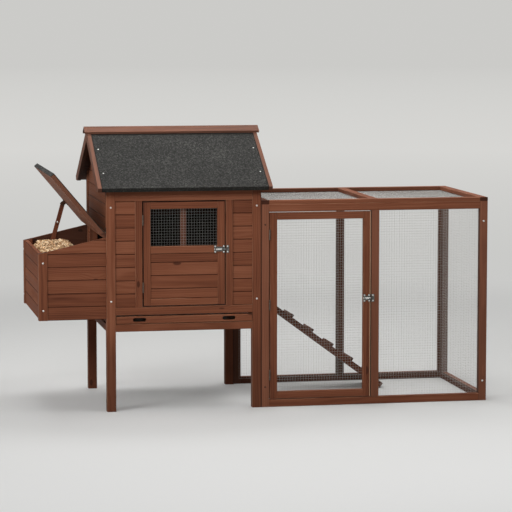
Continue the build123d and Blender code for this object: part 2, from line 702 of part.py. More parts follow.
def tray():
    """Wooden tray front with two finger slots, and the folded steel pan behind it."""
    front_x = (COOP_LEFT_X + POST + TRAY_GAP, COOP_RIGHT_X - POST - TRAY_GAP)
    front_y = (FRONT_Y, FRONT_Y + TRAY_FRONT_T)
    front = timber(front_x, front_y, (TRAY_Z, TRAY_Z + TRAY_FRONT_H))
    slot_z = TRAY_Z + TRAY_FRONT_H / 2
    for slot_x in (COOP_MIDDLE_X - SLOT_SPACING / 2, COOP_MIDDLE_X + SLOT_SPACING / 2):
        slot = extrude(SlotOverall(SLOT_LENGTH, SLOT_HEIGHT), amount=TRAY_FRONT_T)
        front -= placed(slot, (slot_x, front_y[1], slot_z), (1, 0, 0), (0, -1, 0))

    pan_x = (COOP_LEFT_X + POST + TRAY_SIDE_GAP, COOP_RIGHT_X - POST - TRAY_SIDE_GAP)
    pan_y = (front_y[1], BACK_Y - TRAY_BACK_GAP)
    pan = block(pan_x, pan_y, (TRAY_Z, TRAY_Z + TRAY_LIP))
    hollow_x = (pan_x[0] + TRAY_SHEET, pan_x[1] - TRAY_SHEET)
    hollow_y = (pan_y[0], pan_y[1] - TRAY_SHEET)
    pan -= block(hollow_x, hollow_y, (TRAY_Z + TRAY_SHEET, TRAY_Z + TRAY_LIP))
    return {"tray_front": [front], "tray_pan": [pan]}


def door_frame(x, y, z, rails_z):
    """Stiles over the full height, and rails between them at the given heights."""
    stiles = [timber(span, y, z) for span in ((x[0], x[0] + DOOR_STILE), (x[1] - DOOR_STILE, x[1]))]
    inside = (x[0] + DOOR_STILE, x[1] - DOOR_STILE)
    return stiles, [timber(inside, y, rail) for rail in rails_z]


def flange(x, z):
    """Thin plate with rounded corners, flat on the front."""
    plate = block(x, (FRONT_Y - BOLT_PLATE_T, FRONT_Y), (z - BOLT_PLATE_H / 2, z + BOLT_PLATE_H / 2))
    return fillet(plate.edges().filter_by(Axis.Y), BOLT_CORNER)


def strapped(plate, straps, z):
    """Plate with round-backed straps over the bolt, from (start, length) pairs, bored for it."""
    face_y = FRONT_Y - BOLT_PLATE_T
    axis_y = face_y - BOLT_R - BOLT_PLAY
    half = BOLT_R + BOLT_PLAY + BOLT_STRAP_WALL
    for low, length in straps:
        plate += block((low, low + length), (axis_y, face_y), (z - half, z + half))
        plate += rod((low, axis_y, z), (1, 0, 0), half, length) & block(
            (low, low + length), (axis_y - half, axis_y), (z - half, z + half)
        )
    for low, length in straps:
        plate -= rod((low, axis_y, z), (1, 0, 0), BOLT_R + BOLT_PLAY, length)
    return plate


def barrel_bolt(edge_x, plate_length, barrel, z):
    """Bolt on the face of a door beside its closing edge: base plate, sliding bolt and keeper."""
    axis_y = FRONT_Y - BOLT_PLATE_T - BOLT_R - BOLT_PLAY
    plate_x = (edge_x - BOLT_EDGE_INSET - plate_length, edge_x - BOLT_EDGE_INSET)
    rear_strap = plate_x[0] + BOLT_STRAP_INSET
    straps = ((rear_strap, BOLT_STRAP), (plate_x[1] - BOLT_STRAP_INSET - barrel, barrel))
    base = flange((plate_x[0], plate_x[0] + BOLT_FLANGE), z)
    base += flange((plate_x[1] - BOLT_FLANGE, plate_x[1]), z)
    base += block(
        (plate_x[0] + BOLT_FLANGE / 2, plate_x[1] - BOLT_FLANGE / 2),
        (FRONT_Y - BOLT_PLATE_T, FRONT_Y),
        (z - BOLT_WAIST / 2, z + BOLT_WAIST / 2),
    )

    knob_x = rear_strap + BOLT_STRAP + BOLT_PLAY + BOLT_KNOB_R
    bolt = rod((plate_x[0], axis_y, z), (1, 0, 0), BOLT_R, plate_length)
    bolt += rod((knob_x, axis_y, z), (0, -1, 0), BOLT_KNOB_R, BOLT_R + BOLT_KNOB_OUT)
    keeper_x = edge_x + DOOR_GAP + BOLT_EDGE_INSET
    keeper_plate = flange((keeper_x, keeper_x + KEEPER_LENGTH), z)
    keeper = strapped(keeper_plate, [(keeper_x + KEEPER_STRAP_IN, BOLT_STRAP)], z)
    return strapped(base, straps, z), bolt, keeper


def coop_door():
    """Framed door with boards below, a netted window with a mullion behind it above, hinges and bolt."""
    rails_z = (
        (DOOR_Z[0], DOOR_Z[0] + DOOR_RAIL),
        MID_RAIL_Z,
        (DOOR_Z[1] - DOOR_RAIL, DOOR_Z[1]),
    )
    stiles, rails = door_frame(DOOR_X, DOOR_Y, DOOR_Z, rails_z)
    inside = (DOOR_X[0] + DOOR_STILE, DOOR_X[1] - DOOR_STILE)
    board_y = (FRONT_Y + DOOR_BOARD_RECESS, FRONT_Y + DOOR_BOARD_RECESS + BOARD_T)
    boards = clad(inside, board_y, (rails_z[0][1], MID_RAIL_Z[0]), (0, -1, 0), DOOR_FIRST_ROW)
    net_y = DOOR_Y[1] + NET_T
    window_x = (inside[0] - NET_LAP, inside[1] + NET_LAP)
    window_z = (MID_RAIL_Z[1] - NET_LAP, rails_z[2][0] + NET_LAP)
    mullion_x = (COOP_MIDDLE_X - MULLION / 2, COOP_MIDDLE_X + MULLION / 2)
    mullion_z = (MID_RAIL_Z[1] - MULLION_LAP, rails_z[2][0] + MULLION_LAP)
    mullion = timber(mullion_x, (net_y, net_y + MULLION_T), mullion_z)
    hinge_z = [DOORWAY_Z + up for up in COOP_HINGE_UP]
    frame_leaves, door_leaves, pins = butt_hinges(DOORWAY_LEFT + DOOR_GAP / 2, hinge_z, DOOR_HINGE_LENGTH)
    bolt_z = sum(MID_RAIL_Z) / 2
    plate, bolt, keeper = barrel_bolt(DOOR_X[1], COOP_BOLT_PLATE, COOP_BOLT_BARREL, bolt_z)
    return {
        "coop_door_stiles": stiles,
        "coop_door_rails": rails,
        "coop_door_boards": boards,
        "coop_door_mesh": [net(facing_front(net_y), window_x, window_z)],
        "coop_door_mullion": [mullion],
        "door_frame_leaves": frame_leaves,
        "coop_door_leaves": door_leaves,
        "hinge_pins": pins,
        "coop_bolt_plate": [plate],
        "coop_bolt": [bolt],
        "bolt_keepers": [keeper],
    }


def run_door():
    """Netted door of the run, with its hinges and bolt."""
    rails_z = ((RUN_DOOR_Z[0], RUN_DOOR_Z[0] + DOOR_RAIL), (RUN_DOOR_Z[1] - DOOR_RAIL, RUN_DOOR_Z[1]))
    stiles, rails = door_frame(RUN_DOOR_X, DOOR_Y, RUN_DOOR_Z, rails_z)
    net_x = (RUN_DOOR_X[0] + DOOR_STILE - NET_LAP, RUN_DOOR_X[1] - DOOR_STILE + NET_LAP)
    net_z = (rails_z[0][1] - NET_LAP, rails_z[1][0] + NET_LAP)
    hinge_z = [RUN_BAY_Z[0] + up for up in RUN_HINGE_UP]
    frame_leaves, door_leaves, pins = butt_hinges(RUN_LEFT_IN + DOOR_GAP / 2, hinge_z, DOOR_HINGE_LENGTH)
    bolt_z = RUN_DOOR_Z[0] + RUN_BOLT_UP
    plate, bolt, keeper = barrel_bolt(RUN_DOOR_X[1], RUN_BOLT_PLATE, RUN_BOLT_BARREL, bolt_z)
    return {
        "run_door_stiles": stiles,
        "run_door_rails": rails,
        "run_door_mesh": [net(facing_front(DOOR_Y[1] + NET_T), net_x, net_z)],
        "door_frame_leaves": frame_leaves,
        "run_door_leaves": door_leaves,
        "hinge_pins": pins,
        "run_bolt_plate": [plate],
        "run_bolt": [bolt],
        "bolt_keepers": [keeper],
    }


def run_frame():
    """Posts and rails of the run's front, back and right panels, and the frame on top."""
    front_y = (FRONT_Y, FRONT_Y + RUN_T)
    full_z = (0, RUN_WALL_Z)
    post_spans = ((COOP_RIGHT_X, RUN_LEFT_IN), (RUN_RIGHT_IN, RUN_RIGHT_X))
    front_posts = [timber(x, front_y, full_z) for x in post_spans]
    front_posts.append(timber(RUN_MID_X, front_y, RUN_BAY_Z))
    rail_spans = ((0, RUN_BAY_Z[0]), (RUN_BAY_Z[1], RUN_WALL_Z))
    front_rails = [timber((RUN_LEFT_IN, RUN_RIGHT_IN), front_y, z) for z in rail_spans]

    side_x = (RUN_RIGHT_X - RUN_T, RUN_RIGHT_X)
    side_post_y = (front_y[1], front_y[1] + RUN_STILE)
    side_post = timber(side_x, side_post_y, full_z)
    side_rails = [timber(side_x, (side_post_y[1], -side_post_y[1]), z) for z in rail_spans]

    top_z = (RUN_WALL_Z, RUN_TOP_Z)
    strip_y = (FRONT_Y, FRONT_Y + RUN_STILE)
    top_sides = [timber(x, (FRONT_Y, BACK_Y), top_z) for x in post_spans]
    top_front = timber((RUN_LEFT_IN, RUN_RIGHT_IN), strip_y, top_z)
    top_middle = timber(RUN_MID_X, (strip_y[1], -strip_y[1]), top_z)
    return {
        "run_posts": front_posts + [mirrored(post) for post in front_posts + [side_post]] + [side_post],
        "run_rails": front_rails + [mirrored(rail) for rail in front_rails] + side_rails,
        "run_top_frame": top_sides + [top_front, mirrored(top_front), top_middle],
    }


def run_nets():
    """Netting stapled inside the run's frames; the top is two sheets that meet under the middle strip."""
    left_bay = (RUN_LEFT_IN - NET_LAP, RUN_MID_X[0] + NET_LAP)
    right_bay = (RUN_MID_X[1] - NET_LAP, RUN_RIGHT_IN + NET_LAP)
    bay_z = (RUN_BAY_Z[0] - NET_LAP, RUN_BAY_Z[1] + NET_LAP)
    inner_y = FRONT_Y + RUN_T
    side_half = -inner_y - RUN_STILE + NET_LAP
    side_plane = Plane(origin=(RUN_RIGHT_X - RUN_T - NET_T, 0, 0), x_dir=(0, 1, 0), z_dir=(1, 0, 0))
    top_plane = Plane(origin=(0, 0, RUN_WALL_Z - NET_T))
    top_half = BACK_Y - RUN_STILE + NET_LAP
    return {
        "run_front_mesh": [net(facing_front(inner_y + NET_T), right_bay, bay_z)],
        "run_back_mesh": [net(facing_front(-inner_y), bay, bay_z) for bay in (left_bay, right_bay)],
        "run_side_mesh": [net(side_plane, (-side_half, side_half), bay_z)],
        "run_top_mesh": [net(top_plane, bay, (-top_half, top_half)) for bay in (left_bay, right_bay)],
    }


def ramp():
    """Board with cleats from the coop's opening down to the ground, and its hinges."""
    along = (RAMP_RUN, 0, -RAMP_DROP)
    origin = (RAMP_AXIS_X, POP_Y, RAMP_AXIS_Z)
    half = RAMP_W / 2
    top = -LEAF_OFFSET
    plank = block((0, RAMP_LENGTH), (-half, half), (top - RAMP_T, top))
    off_wall = block((RIGHT_BOARD_X[1] + RAMP_END_GAP, RUN_RIGHT_X), (FRONT_Y, BACK_Y), (0, RUN_TOP_Z))

    def on_slope(solid):
        return placed(solid, origin, along, (-along[2], 0, along[0]))

    cleat_count = int((RAMP_LENGTH - CLEAT_FIRST - CLEAT) // CLEAT_PITCH) + 1
    cleat_starts = [CLEAT_FIRST + CLEAT_PITCH * step for step in range(cleat_count)]
    cleats = [timber((low, low + CLEAT), (-half, half), (top, top + CLEAT)) for low in cleat_starts]

    outer, middle = hinge_spans(DOOR_HINGE_LENGTH)
    wall_leaf = hinge_leaf(outer, DOOR_HINGE_LENGTH, LEAF_OFFSET)
    ramp_leaf = hinge_leaf(middle, DOOR_HINGE_LENGTH, LEAF_OFFSET)
    pin = hinge_pin(DOOR_HINGE_LENGTH)
    starts = [(RAMP_AXIS_X, POP_Y + y - DOOR_HINGE_LENGTH / 2, RAMP_AXIS_Z) for y in (-half / 2, half / 2)]
    return {
        "ramp_board": [on_slope(plank) & off_wall],
        "ramp_cleats": [on_slope(cleat) for cleat in cleats],
        "ramp_leaves": [placed(ramp_leaf, start, along, (0, 1, 0)) for start in starts],
        "ramp_wall_leaves": [placed(wall_leaf, start, (0, 0, -1), (0, 1, 0)) for start in starts],
        "hinge_pins": [placed(pin, start, (0, 0, -1), (0, 1, 0)) for start in starts],
    }


def screws():
    """Screw heads on the posts, the roof and the nest box."""
    heads = []
    for x in (COOP_LEFT_X + POST / 2, COOP_RIGHT_X - POST / 2):
        for z in (DOORWAY_Z + COOP_SCREW_ENDS, DOORWAY_TOP - COOP_SCREW_ENDS):
            heads.append(screw((x, FRONT_Y, z), (0, -1, 0)))
            heads.append(screw((x, BACK_Y, z), (0, 1, 0)))
    for side in (-1, 1):
        outward = (0, side * sin(PITCH), cos(PITCH))
        for x in (ROOF_X[0] + ROOF_SCREW_IN, ROOF_X[1] - ROOF_SCREW_IN):
            for share in (1 / 3, 3 / 4):
                y, z = roof_point(share * EAVE_S, ROOF_T + FELT_T, side)
                heads.append(screw((x, y, z), outward))
    nest_x = NEST_END_X + NEST_POST / 2
    for z in (NEST_BOTTOM + NEST_SCREW_END, nest_top_at(nest_x) - NEST_SCREW_END):
        heads.append(screw((nest_x, -NEST_HALF, z), (0, -1, 0)))
        heads.append(screw((nest_x, NEST_HALF, z), (0, 1, 0)))
        heads.append(screw((NEST_END_X, NEST_HALF - NEST_POST / 2, z), (-1, 0, 0)))
    for z in (RUN_SCREW_END, RUN_WALL_Z - RUN_SCREW_END):
        for x in (COOP_RIGHT_X + RUN_STILE / 2, RUN_RIGHT_X - RUN_STILE / 2):
            heads.append(screw((x, FRONT_Y, z), (0, -1, 0)))
            heads.append(screw((x, BACK_Y, z), (0, 1, 0)))
        for y in (FRONT_Y + RUN_T + RUN_STILE / 2, BACK_Y - RUN_T - RUN_STILE / 2):
            heads.append(screw((RUN_RIGHT_X, y, z), (1, 0, 0)))
    return {"screws": heads}


def build():
    """Every piece by the name of its node, as a list of separate solids."""
    nodes = {}
    groups = (
        coop_frame,
        coop_walls,
        coop_inside,
        roof,
        nest_box,
        nest_lid,
        stay,
        tray,
        coop_door,
        run_frame,
        run_nets,
        run_door,
        ramp,
        screws,
    )
    for group in groups:
        for name, pieces in group().items():
            nodes.setdefault(name, []).extend(pieces)
    return nodes


def main():
    os.makedirs("parts", exist_ok=True)
    for name, pieces in build().items():
        solids = [solid for piece in pieces for solid in piece.solids()]
        shape = solids[0] if len(solids) == 1 else Compound(children=solids)
        export_step(shape, f"parts/{name}.step")


main()
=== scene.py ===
import json
import math
import random

import bmesh
import bpy
from mathutils import Matrix, Vector


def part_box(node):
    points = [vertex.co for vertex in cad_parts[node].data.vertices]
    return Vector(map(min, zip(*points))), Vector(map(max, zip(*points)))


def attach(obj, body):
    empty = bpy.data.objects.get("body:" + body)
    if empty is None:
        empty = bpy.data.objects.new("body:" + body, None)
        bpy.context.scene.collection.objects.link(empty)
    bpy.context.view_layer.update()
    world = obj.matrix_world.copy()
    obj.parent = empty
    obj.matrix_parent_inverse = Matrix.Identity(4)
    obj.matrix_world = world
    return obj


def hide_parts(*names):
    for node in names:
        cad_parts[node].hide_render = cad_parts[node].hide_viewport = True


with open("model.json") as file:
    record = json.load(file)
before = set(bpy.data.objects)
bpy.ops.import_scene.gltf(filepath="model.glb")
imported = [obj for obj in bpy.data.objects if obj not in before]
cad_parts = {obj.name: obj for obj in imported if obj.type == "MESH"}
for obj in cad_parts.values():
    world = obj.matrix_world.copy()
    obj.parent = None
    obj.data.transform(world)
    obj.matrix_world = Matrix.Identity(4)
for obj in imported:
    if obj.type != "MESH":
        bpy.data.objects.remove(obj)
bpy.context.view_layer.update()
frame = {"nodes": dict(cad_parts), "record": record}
NODES = frame["nodes"]

# Camera: place and reach in metres, turns in degrees, lens and film in millimetres
CAMERA_PLACE = (-1.8788, -9.7566, 1.5974)
CAMERA_PITCH = 5.83
CAMERA_YAW = 11.0
CAMERA_LENS = 168.75
CAMERA_FILM = 36
CAMERA_REACH = 100

# Shapes that the materials and pieces follow, in metres and degrees
ROOF_PITCH = 30
LID_TILT = 130
RAMP_TILT = 36.5
STAY_TILT = 74.4
STAY_W = 0.018
STAY_T = 0.005
BOARD_ROWS = 8
DOOR_FIRST_ROW = 0.040
RUN_STILE = 0.033
BOLT_PLATE_T = 0.0015
BOLT_FLANGE = 0.009
KEEPER_LENGTH = 0.012
PLATE_SCREW_IN = 0.005

# Ways that a face can look, which pick the faces that get painted shade; a face looks to the middle from
# its own side of the plane y = 0
TO_BACK = (0, 1, 0)
TO_FRONT = (0, -1, 0)
TO_RIGHT = (1, 0, 0)
TO_LEFT = (-1, 0, 0)
DOWN = (0, 0, -1)
TO_MIDDLE = "middle"

# Cells that hold one stick of wood each, and where some of them start, in metres
ENDLESS = 9.0
WHOLE = (ENDLESS,) * 3
FAR_CORNER = (-ENDLESS / 2,) * 3
SIDE_APART = 1.0
APART = 0.3
STILE_APART = 0.2
PLANK = 0.1
FLOOR_PLANK = 0.09
CLEAT_APART = 0.08
RAIL_ROW = 0.04
RAIL_FIRST = 0.005
RUN_POSTS_FROM = -0.1

# Colours of the stain and of the marks on it, and of the painted shade, sheen and edge light over it, in
# linear light
STAIN_DARK = (0.074, 0.021, 0.010)
STAIN_MID = (0.172, 0.056, 0.027)
STAIN_LIGHT = (0.27, 0.104, 0.056)
# Dark of knots and end grain, also laid on as painted shade in board grooves and at the posts' feet
DARK_WOOD_AND_SHADE = (0.04, 0.012, 0.006)
# Painted shade for faces that look into the coop, the nest, the run or under the roof
INSIDE_SHADE = (0.010, 0.006, 0.0045)
# Pale grey over the stain: painted sheen on the ridge and barge boards, painted light on the lid, and a
# paler, greyer tone on the run's posts and the door's mullion
BLEACH_AND_SHEEN = (0.2, 0.122, 0.092)
# Raw wood, on the run door's bare closing edge, and as wear and painted highlight on eased edges
RAW_WOOD_AND_EDGE_LIGHT = (0.5, 0.31, 0.19)
# Painted shade beside the door's gap and where the run's posts meet the coop's
SEAM_SHADE = (0.008, 0.004, 0.003)

# Layers of the grain: changes a metre along and across the stick, then the noise's detail and roughness
FIBRES = ((7.0, 420.0, 420.0), 3.0, 0.6)
STREAKS = ((1.6, 75.0, 75.0), 3.0, 0.55)
BLOTCHES = ((2.4, 6.0, 6.0), 2.0)
RING_WARP = ((2.1, 11.0, 11.0), 2.0)
WORN_PATCHES = ((14.0, 60.0, 60.0), 3.0)

# How much each layer counts in the shade of the stain, which goes from 0, dark, to 1, light
MIDDLE_SHADE = 0.56
RING_SHARE = -0.16
FIBRE_SHARE = 0.4
STREAK_SHARE = 0.7
BLOTCH_SHARE = 0.6
STICK_SHARE = 0.28

# Shift of each stick's own grain, and year rings about a pith outside it, in metres
STICK_SHIFT = (5.0, 1.6, 1.6)
RING = 0.0065
PITH = (0.0, 0.8, 0.8)
RING_WANDER = 0.03
KNOT_PUSH = 0.012
LATE_WOOD = (-0.7, 1.0)

# Knots: cells a metre along and across the stick, the share of cells without one, and sizes in cells
KNOT_CELLS = (5.0, 11.0)
KNOT_RARE = 0.87
KNOT_R = 0.03
KNOT_R_SPAN = 0.04
KNOT_RIM = 1.7
KNOT_BEND = (0.42, 0.05)
KNOT_SHARE = 0.8

# Edges, ends, seams and painted shade of the wood: lengths in metres, the rest as shares
EASED = (0.96, 0.8)
WORN_SPAN = (0.35, 0.6)
# Painted shade in the grooves between boards
BOARD_GROOVE_SHADE = -0.6
END_GRAIN = (0.85, 0.97)
# How squarely a face must look inward to take the painted shade
INWARD_SHADE_SPAN = (0.3, 0.7)
RAW_STRIP = 0.003
# Heights over which the painted shade at the posts' feet fades out
FOOT_SHADE_TOP = (0.2, 0.36)
SEAM = 0.002
SEAM_SHADE_SHARE = 0.9
RING_RELIEF = 0.35
WOOD_RELIEF = (0.0005, 0.35)
WOOD_ROUGH = (0.2, 0.8, 0.58, 0.82)

# Felt: granules and clumps a metre, how much they and the patches count, and colours by shade
FELT_GRIT = 620.0
FELT_CLUMPS = 210.0
FELT_PATCHES = ((5.0, 9.0, 9.0), 3.0)
FELT_SHARES = (0.3, 0.52, 0.3)
FELT_STOPS = (
    (0.1, (0.0072, 0.007, 0.0063)),
    (0.45, (0.018, 0.0175, 0.016)),
    (0.7, (0.032, 0.0312, 0.0287)),
    (0.95, (0.087, 0.0853, 0.079)),
)
# Painted shade on the felt's upright folds at the eaves, and painted shadow lines along the barge boards
# and ridge
FELT_FOLD_SHADE = (0.009, 0.0078, 0.0055)
FELT_FOLD_SHADE_SHARE = 0.85
FELT_SEAM_SHADE = (0.010, 0.008, 0.006)
FELT_SEAM_SHADE_SHARE = 0.8
FELT_FOLD = (0.62, 0.42)
FELT_SEAM = 0.005
FELT_RELIEF = (0.0009, 0.7)
FELT_ROUGH = (0.0, 1.0, 0.75, 0.95)
FELT_GLOSS = 0.18

# Steel: spangle a metre, scuffs as a noise, and each finish as dark colour, bright colour and roughness
SPANGLE = 260.0
SCUFFS = ((90.0, 90.0, 900.0), 3.0, 0.6)
STEEL_SHARES = (0.5, 0.5)
SCUFF_SPAN = (0.3, 0.7)
SCUFF_DULL = 0.2
STEEL_RELIEF = (0.0002, 0.25)
STEELS = {
    "zinc_hinges": ((0.065, 0.05, 0.04), (0.18, 0.145, 0.12), 0.42),
    # Darker zinc as painted shade on the bolts' plates and keepers, and brighter zinc as painted highlight
    # on the bolts
    "zinc_plates_painted_shade": ((0.05, 0.05, 0.045), (0.24, 0.235, 0.22), 0.25),
    "zinc_bolts_painted_highlight": ((0.62, 0.62, 0.6), (0.9, 0.9, 0.87), 0.2),
    # Dark brown steel: painted shade on the stay's fittings and the lid's hinge leaves, and stain over the
    # screws in the run's left posts
    "stained_and_shade_dark_steel": ((0.05, 0.024, 0.016), (0.13, 0.066, 0.044), 0.5),
    "zinc_sheet": ((0.3, 0.31, 0.31), (0.48, 0.48, 0.48), 0.4),
    "zinc_wire": ((0.4, 0.39, 0.37), (0.58, 0.565, 0.54), 0.38),
    # Brighter copy of the wire, as painted light on the run's top netting
    "painted_light_wire": ((0.65, 0.65, 0.63), (0.85, 0.85, 0.83), 0.38),
    "zinc_screws": ((0.52, 0.52, 0.5), (0.8, 0.8, 0.78), 0.25),
}
STEEL_NODES = {
    # Painted shade on the plates and keepers, painted highlight on the bolts
    "zinc_plates_painted_shade": ("coop_bolt_plate", "run_bolt_plate", "bolt_keepers"),
    "zinc_bolts_painted_highlight": ("coop_bolt", "run_bolt"),
    # Painted shade on the stay's fittings and the lid's hinge leaves
    "stained_and_shade_dark_steel": ("stay_wall_pivot", "stay_lid_bracket", "nest_lid_leaves", "nest_wall_leaves"),
    "zinc_sheet": ("tray_pan",),
}

# Welded netting, in metres
NET_PITCH = 0.0109
WIRE_R = 0.00025
NET_SAG = 0.002
TOP_SAG = 0.005
WIRE_SIDES = 6
WIRE_STEPS = 10

# Screw heads: radii in metres
SCREW_R = 0.004
SMALL_SCREW_R = 0.003
STAY_SCREW_R = 0.0052
FELT_SCREW_R = 0.0028

# Screw heads: shares of the radius, or of the head's height up the profile, and turns in radians
SCREW_UP = 0.49
SCREW_PIT = 0.29
STAY_SCREW_PIT = 0.08
CROSS_ARM = 0.34
CROSS_HALF = 0.11
CROSS_TAPER = 0.8
SCREW_PROFILE = ((0.35, 0.98), (0.66, 0.82), (0.88, 0.5), (1.0, 0.18), (1.0, 0.0))
SCREW_SIDES = 20
SCREW_TURN = (0, 3)

# Sorting the CAD screws: how far up those in the roof look at least, and lengths in metres
ROOF_SIDE = 0.5
LEFT_POSTS = 0.05
SAME_POINT = 1e-6

# Heap of bedding: heights as shares of the crown's, and places as shares of its length and width
HEAP_SHOULDER = 0.84
HEAP_LOW = 0.48
HEAP_CROWN = (0.165, 0.075)
HEAP_CREST = 0.6
HEAP_SUNK = 0.035
HEAP_CELLS = (18, 40)

# Lumps of the heap: height, then two crossed waves, each as radians along, radians across and a start
HEAP_LUMPS = (
    (0.012, (14, 0, 0.7), (0, 27, 1.4)),
    (0.010, (33, 4, 0), (-5, 51, 0)),
)

# Shavings on the heap: lengths in metres, turns in radians, and colours by shade
CURLS = 2600
CURL_SEED = 5
CURL_ALONG = (0.05, 0.95)
CURL_ACROSS = (0.02, 0.98)
CURL_DEPTH = (-0.004, 0.002)
CURL_TURN = (0, 6.28)
CURL_TILT = (-1.2, 1.2)
CURL_WIDTH = (0.006, 0.013)
CURL_R = (0.004, 0.011)
CURL_SWEEP = (1.6, 4.6)
CURL_SKEW = (-0.004, 0.004)
CURL_OPENS = 0.35
CURL_PROUD = 0.008
CURL_STEPS = 7
CURL_PATCHES = ((55.0, 55.0, 55.0), 2.0)
CURL_LINES = ((420.0, 420.0, 420.0), 2.0)
CURL_SHARES = (0.75, 0.25)
CURL_STOPS = ((0.38, (0.48, 0.28, 0.13)), (0.5, (0.8, 0.56, 0.33)), (0.62, (0.95, 0.79, 0.56)))
CURL_RELIEF = (0.0003, 0.4)
CURL_ROUGH = (0.3, 0.7, 0.6, 0.8)
CURL_GLOSS = 0.25

# Studio: colours of the paper and of the background in linear light, and places in metres
FRONT_PAPER = (0.86, 0.86, 0.85)
FLOOR_PAPER = (0.55, 0.55, 0.54)
FRONT_FADE = (-2.6, 0.0)
# Painted light: paler paper under the coop, that lifts the object's shadow there
PAINTED_LIGHT_PAPER = (0.76, 0.76, 0.75)
PAINTED_LIGHT_PLACE = (-0.45, -0.05, 0.0)
PAINTED_LIGHT_REACH = (0.85, 0.25)
MOTTLED = (0.5, 0.5, 0.5)
MOTTLES = ((0.4, 0.4, 0.4), 1.0)
MOTTLE_SHARE = 0.04
PAPER_ROUGH = 0.9
PAPER_GLOSS = 0.1
BOUNCE = 0.6
SOFT_LIGHT = 0.42
FLOOR_R = 60.0
FLOOR_SIDES = 96
FLOOR_FADE = (2.2, 4.6)
SKY = (0.6, 0.597, 0.58)
FAR_FLOOR = (
    (3.0, (0.585, 0.585, 0.575)),
    (6.0, (0.59, 0.59, 0.575)),
    (18.0, (0.675, 0.67, 0.65)),
    (33.0, (0.645, 0.642, 0.623)),
    (FLOOR_R, SKY),
)

# Lamps: place, point that they face and size in metres, power in watts and cone in degrees
LAMPS = {
    "top_softbox": ((0.2, 0.6, 4.6), (0, 0, 0.4), (4.0, 4.0), 178, 180),
    "front_softbox": ((-1.2, -4.2, 2.7), (0.2, -0.3, 1.1), (3.2, 1.4), 8, 46),
    "left_softbox": ((-3.4, -2.4, 2.6), (-0.6, 0, 1.0), (1.6, 1.4), 8, 50),
}


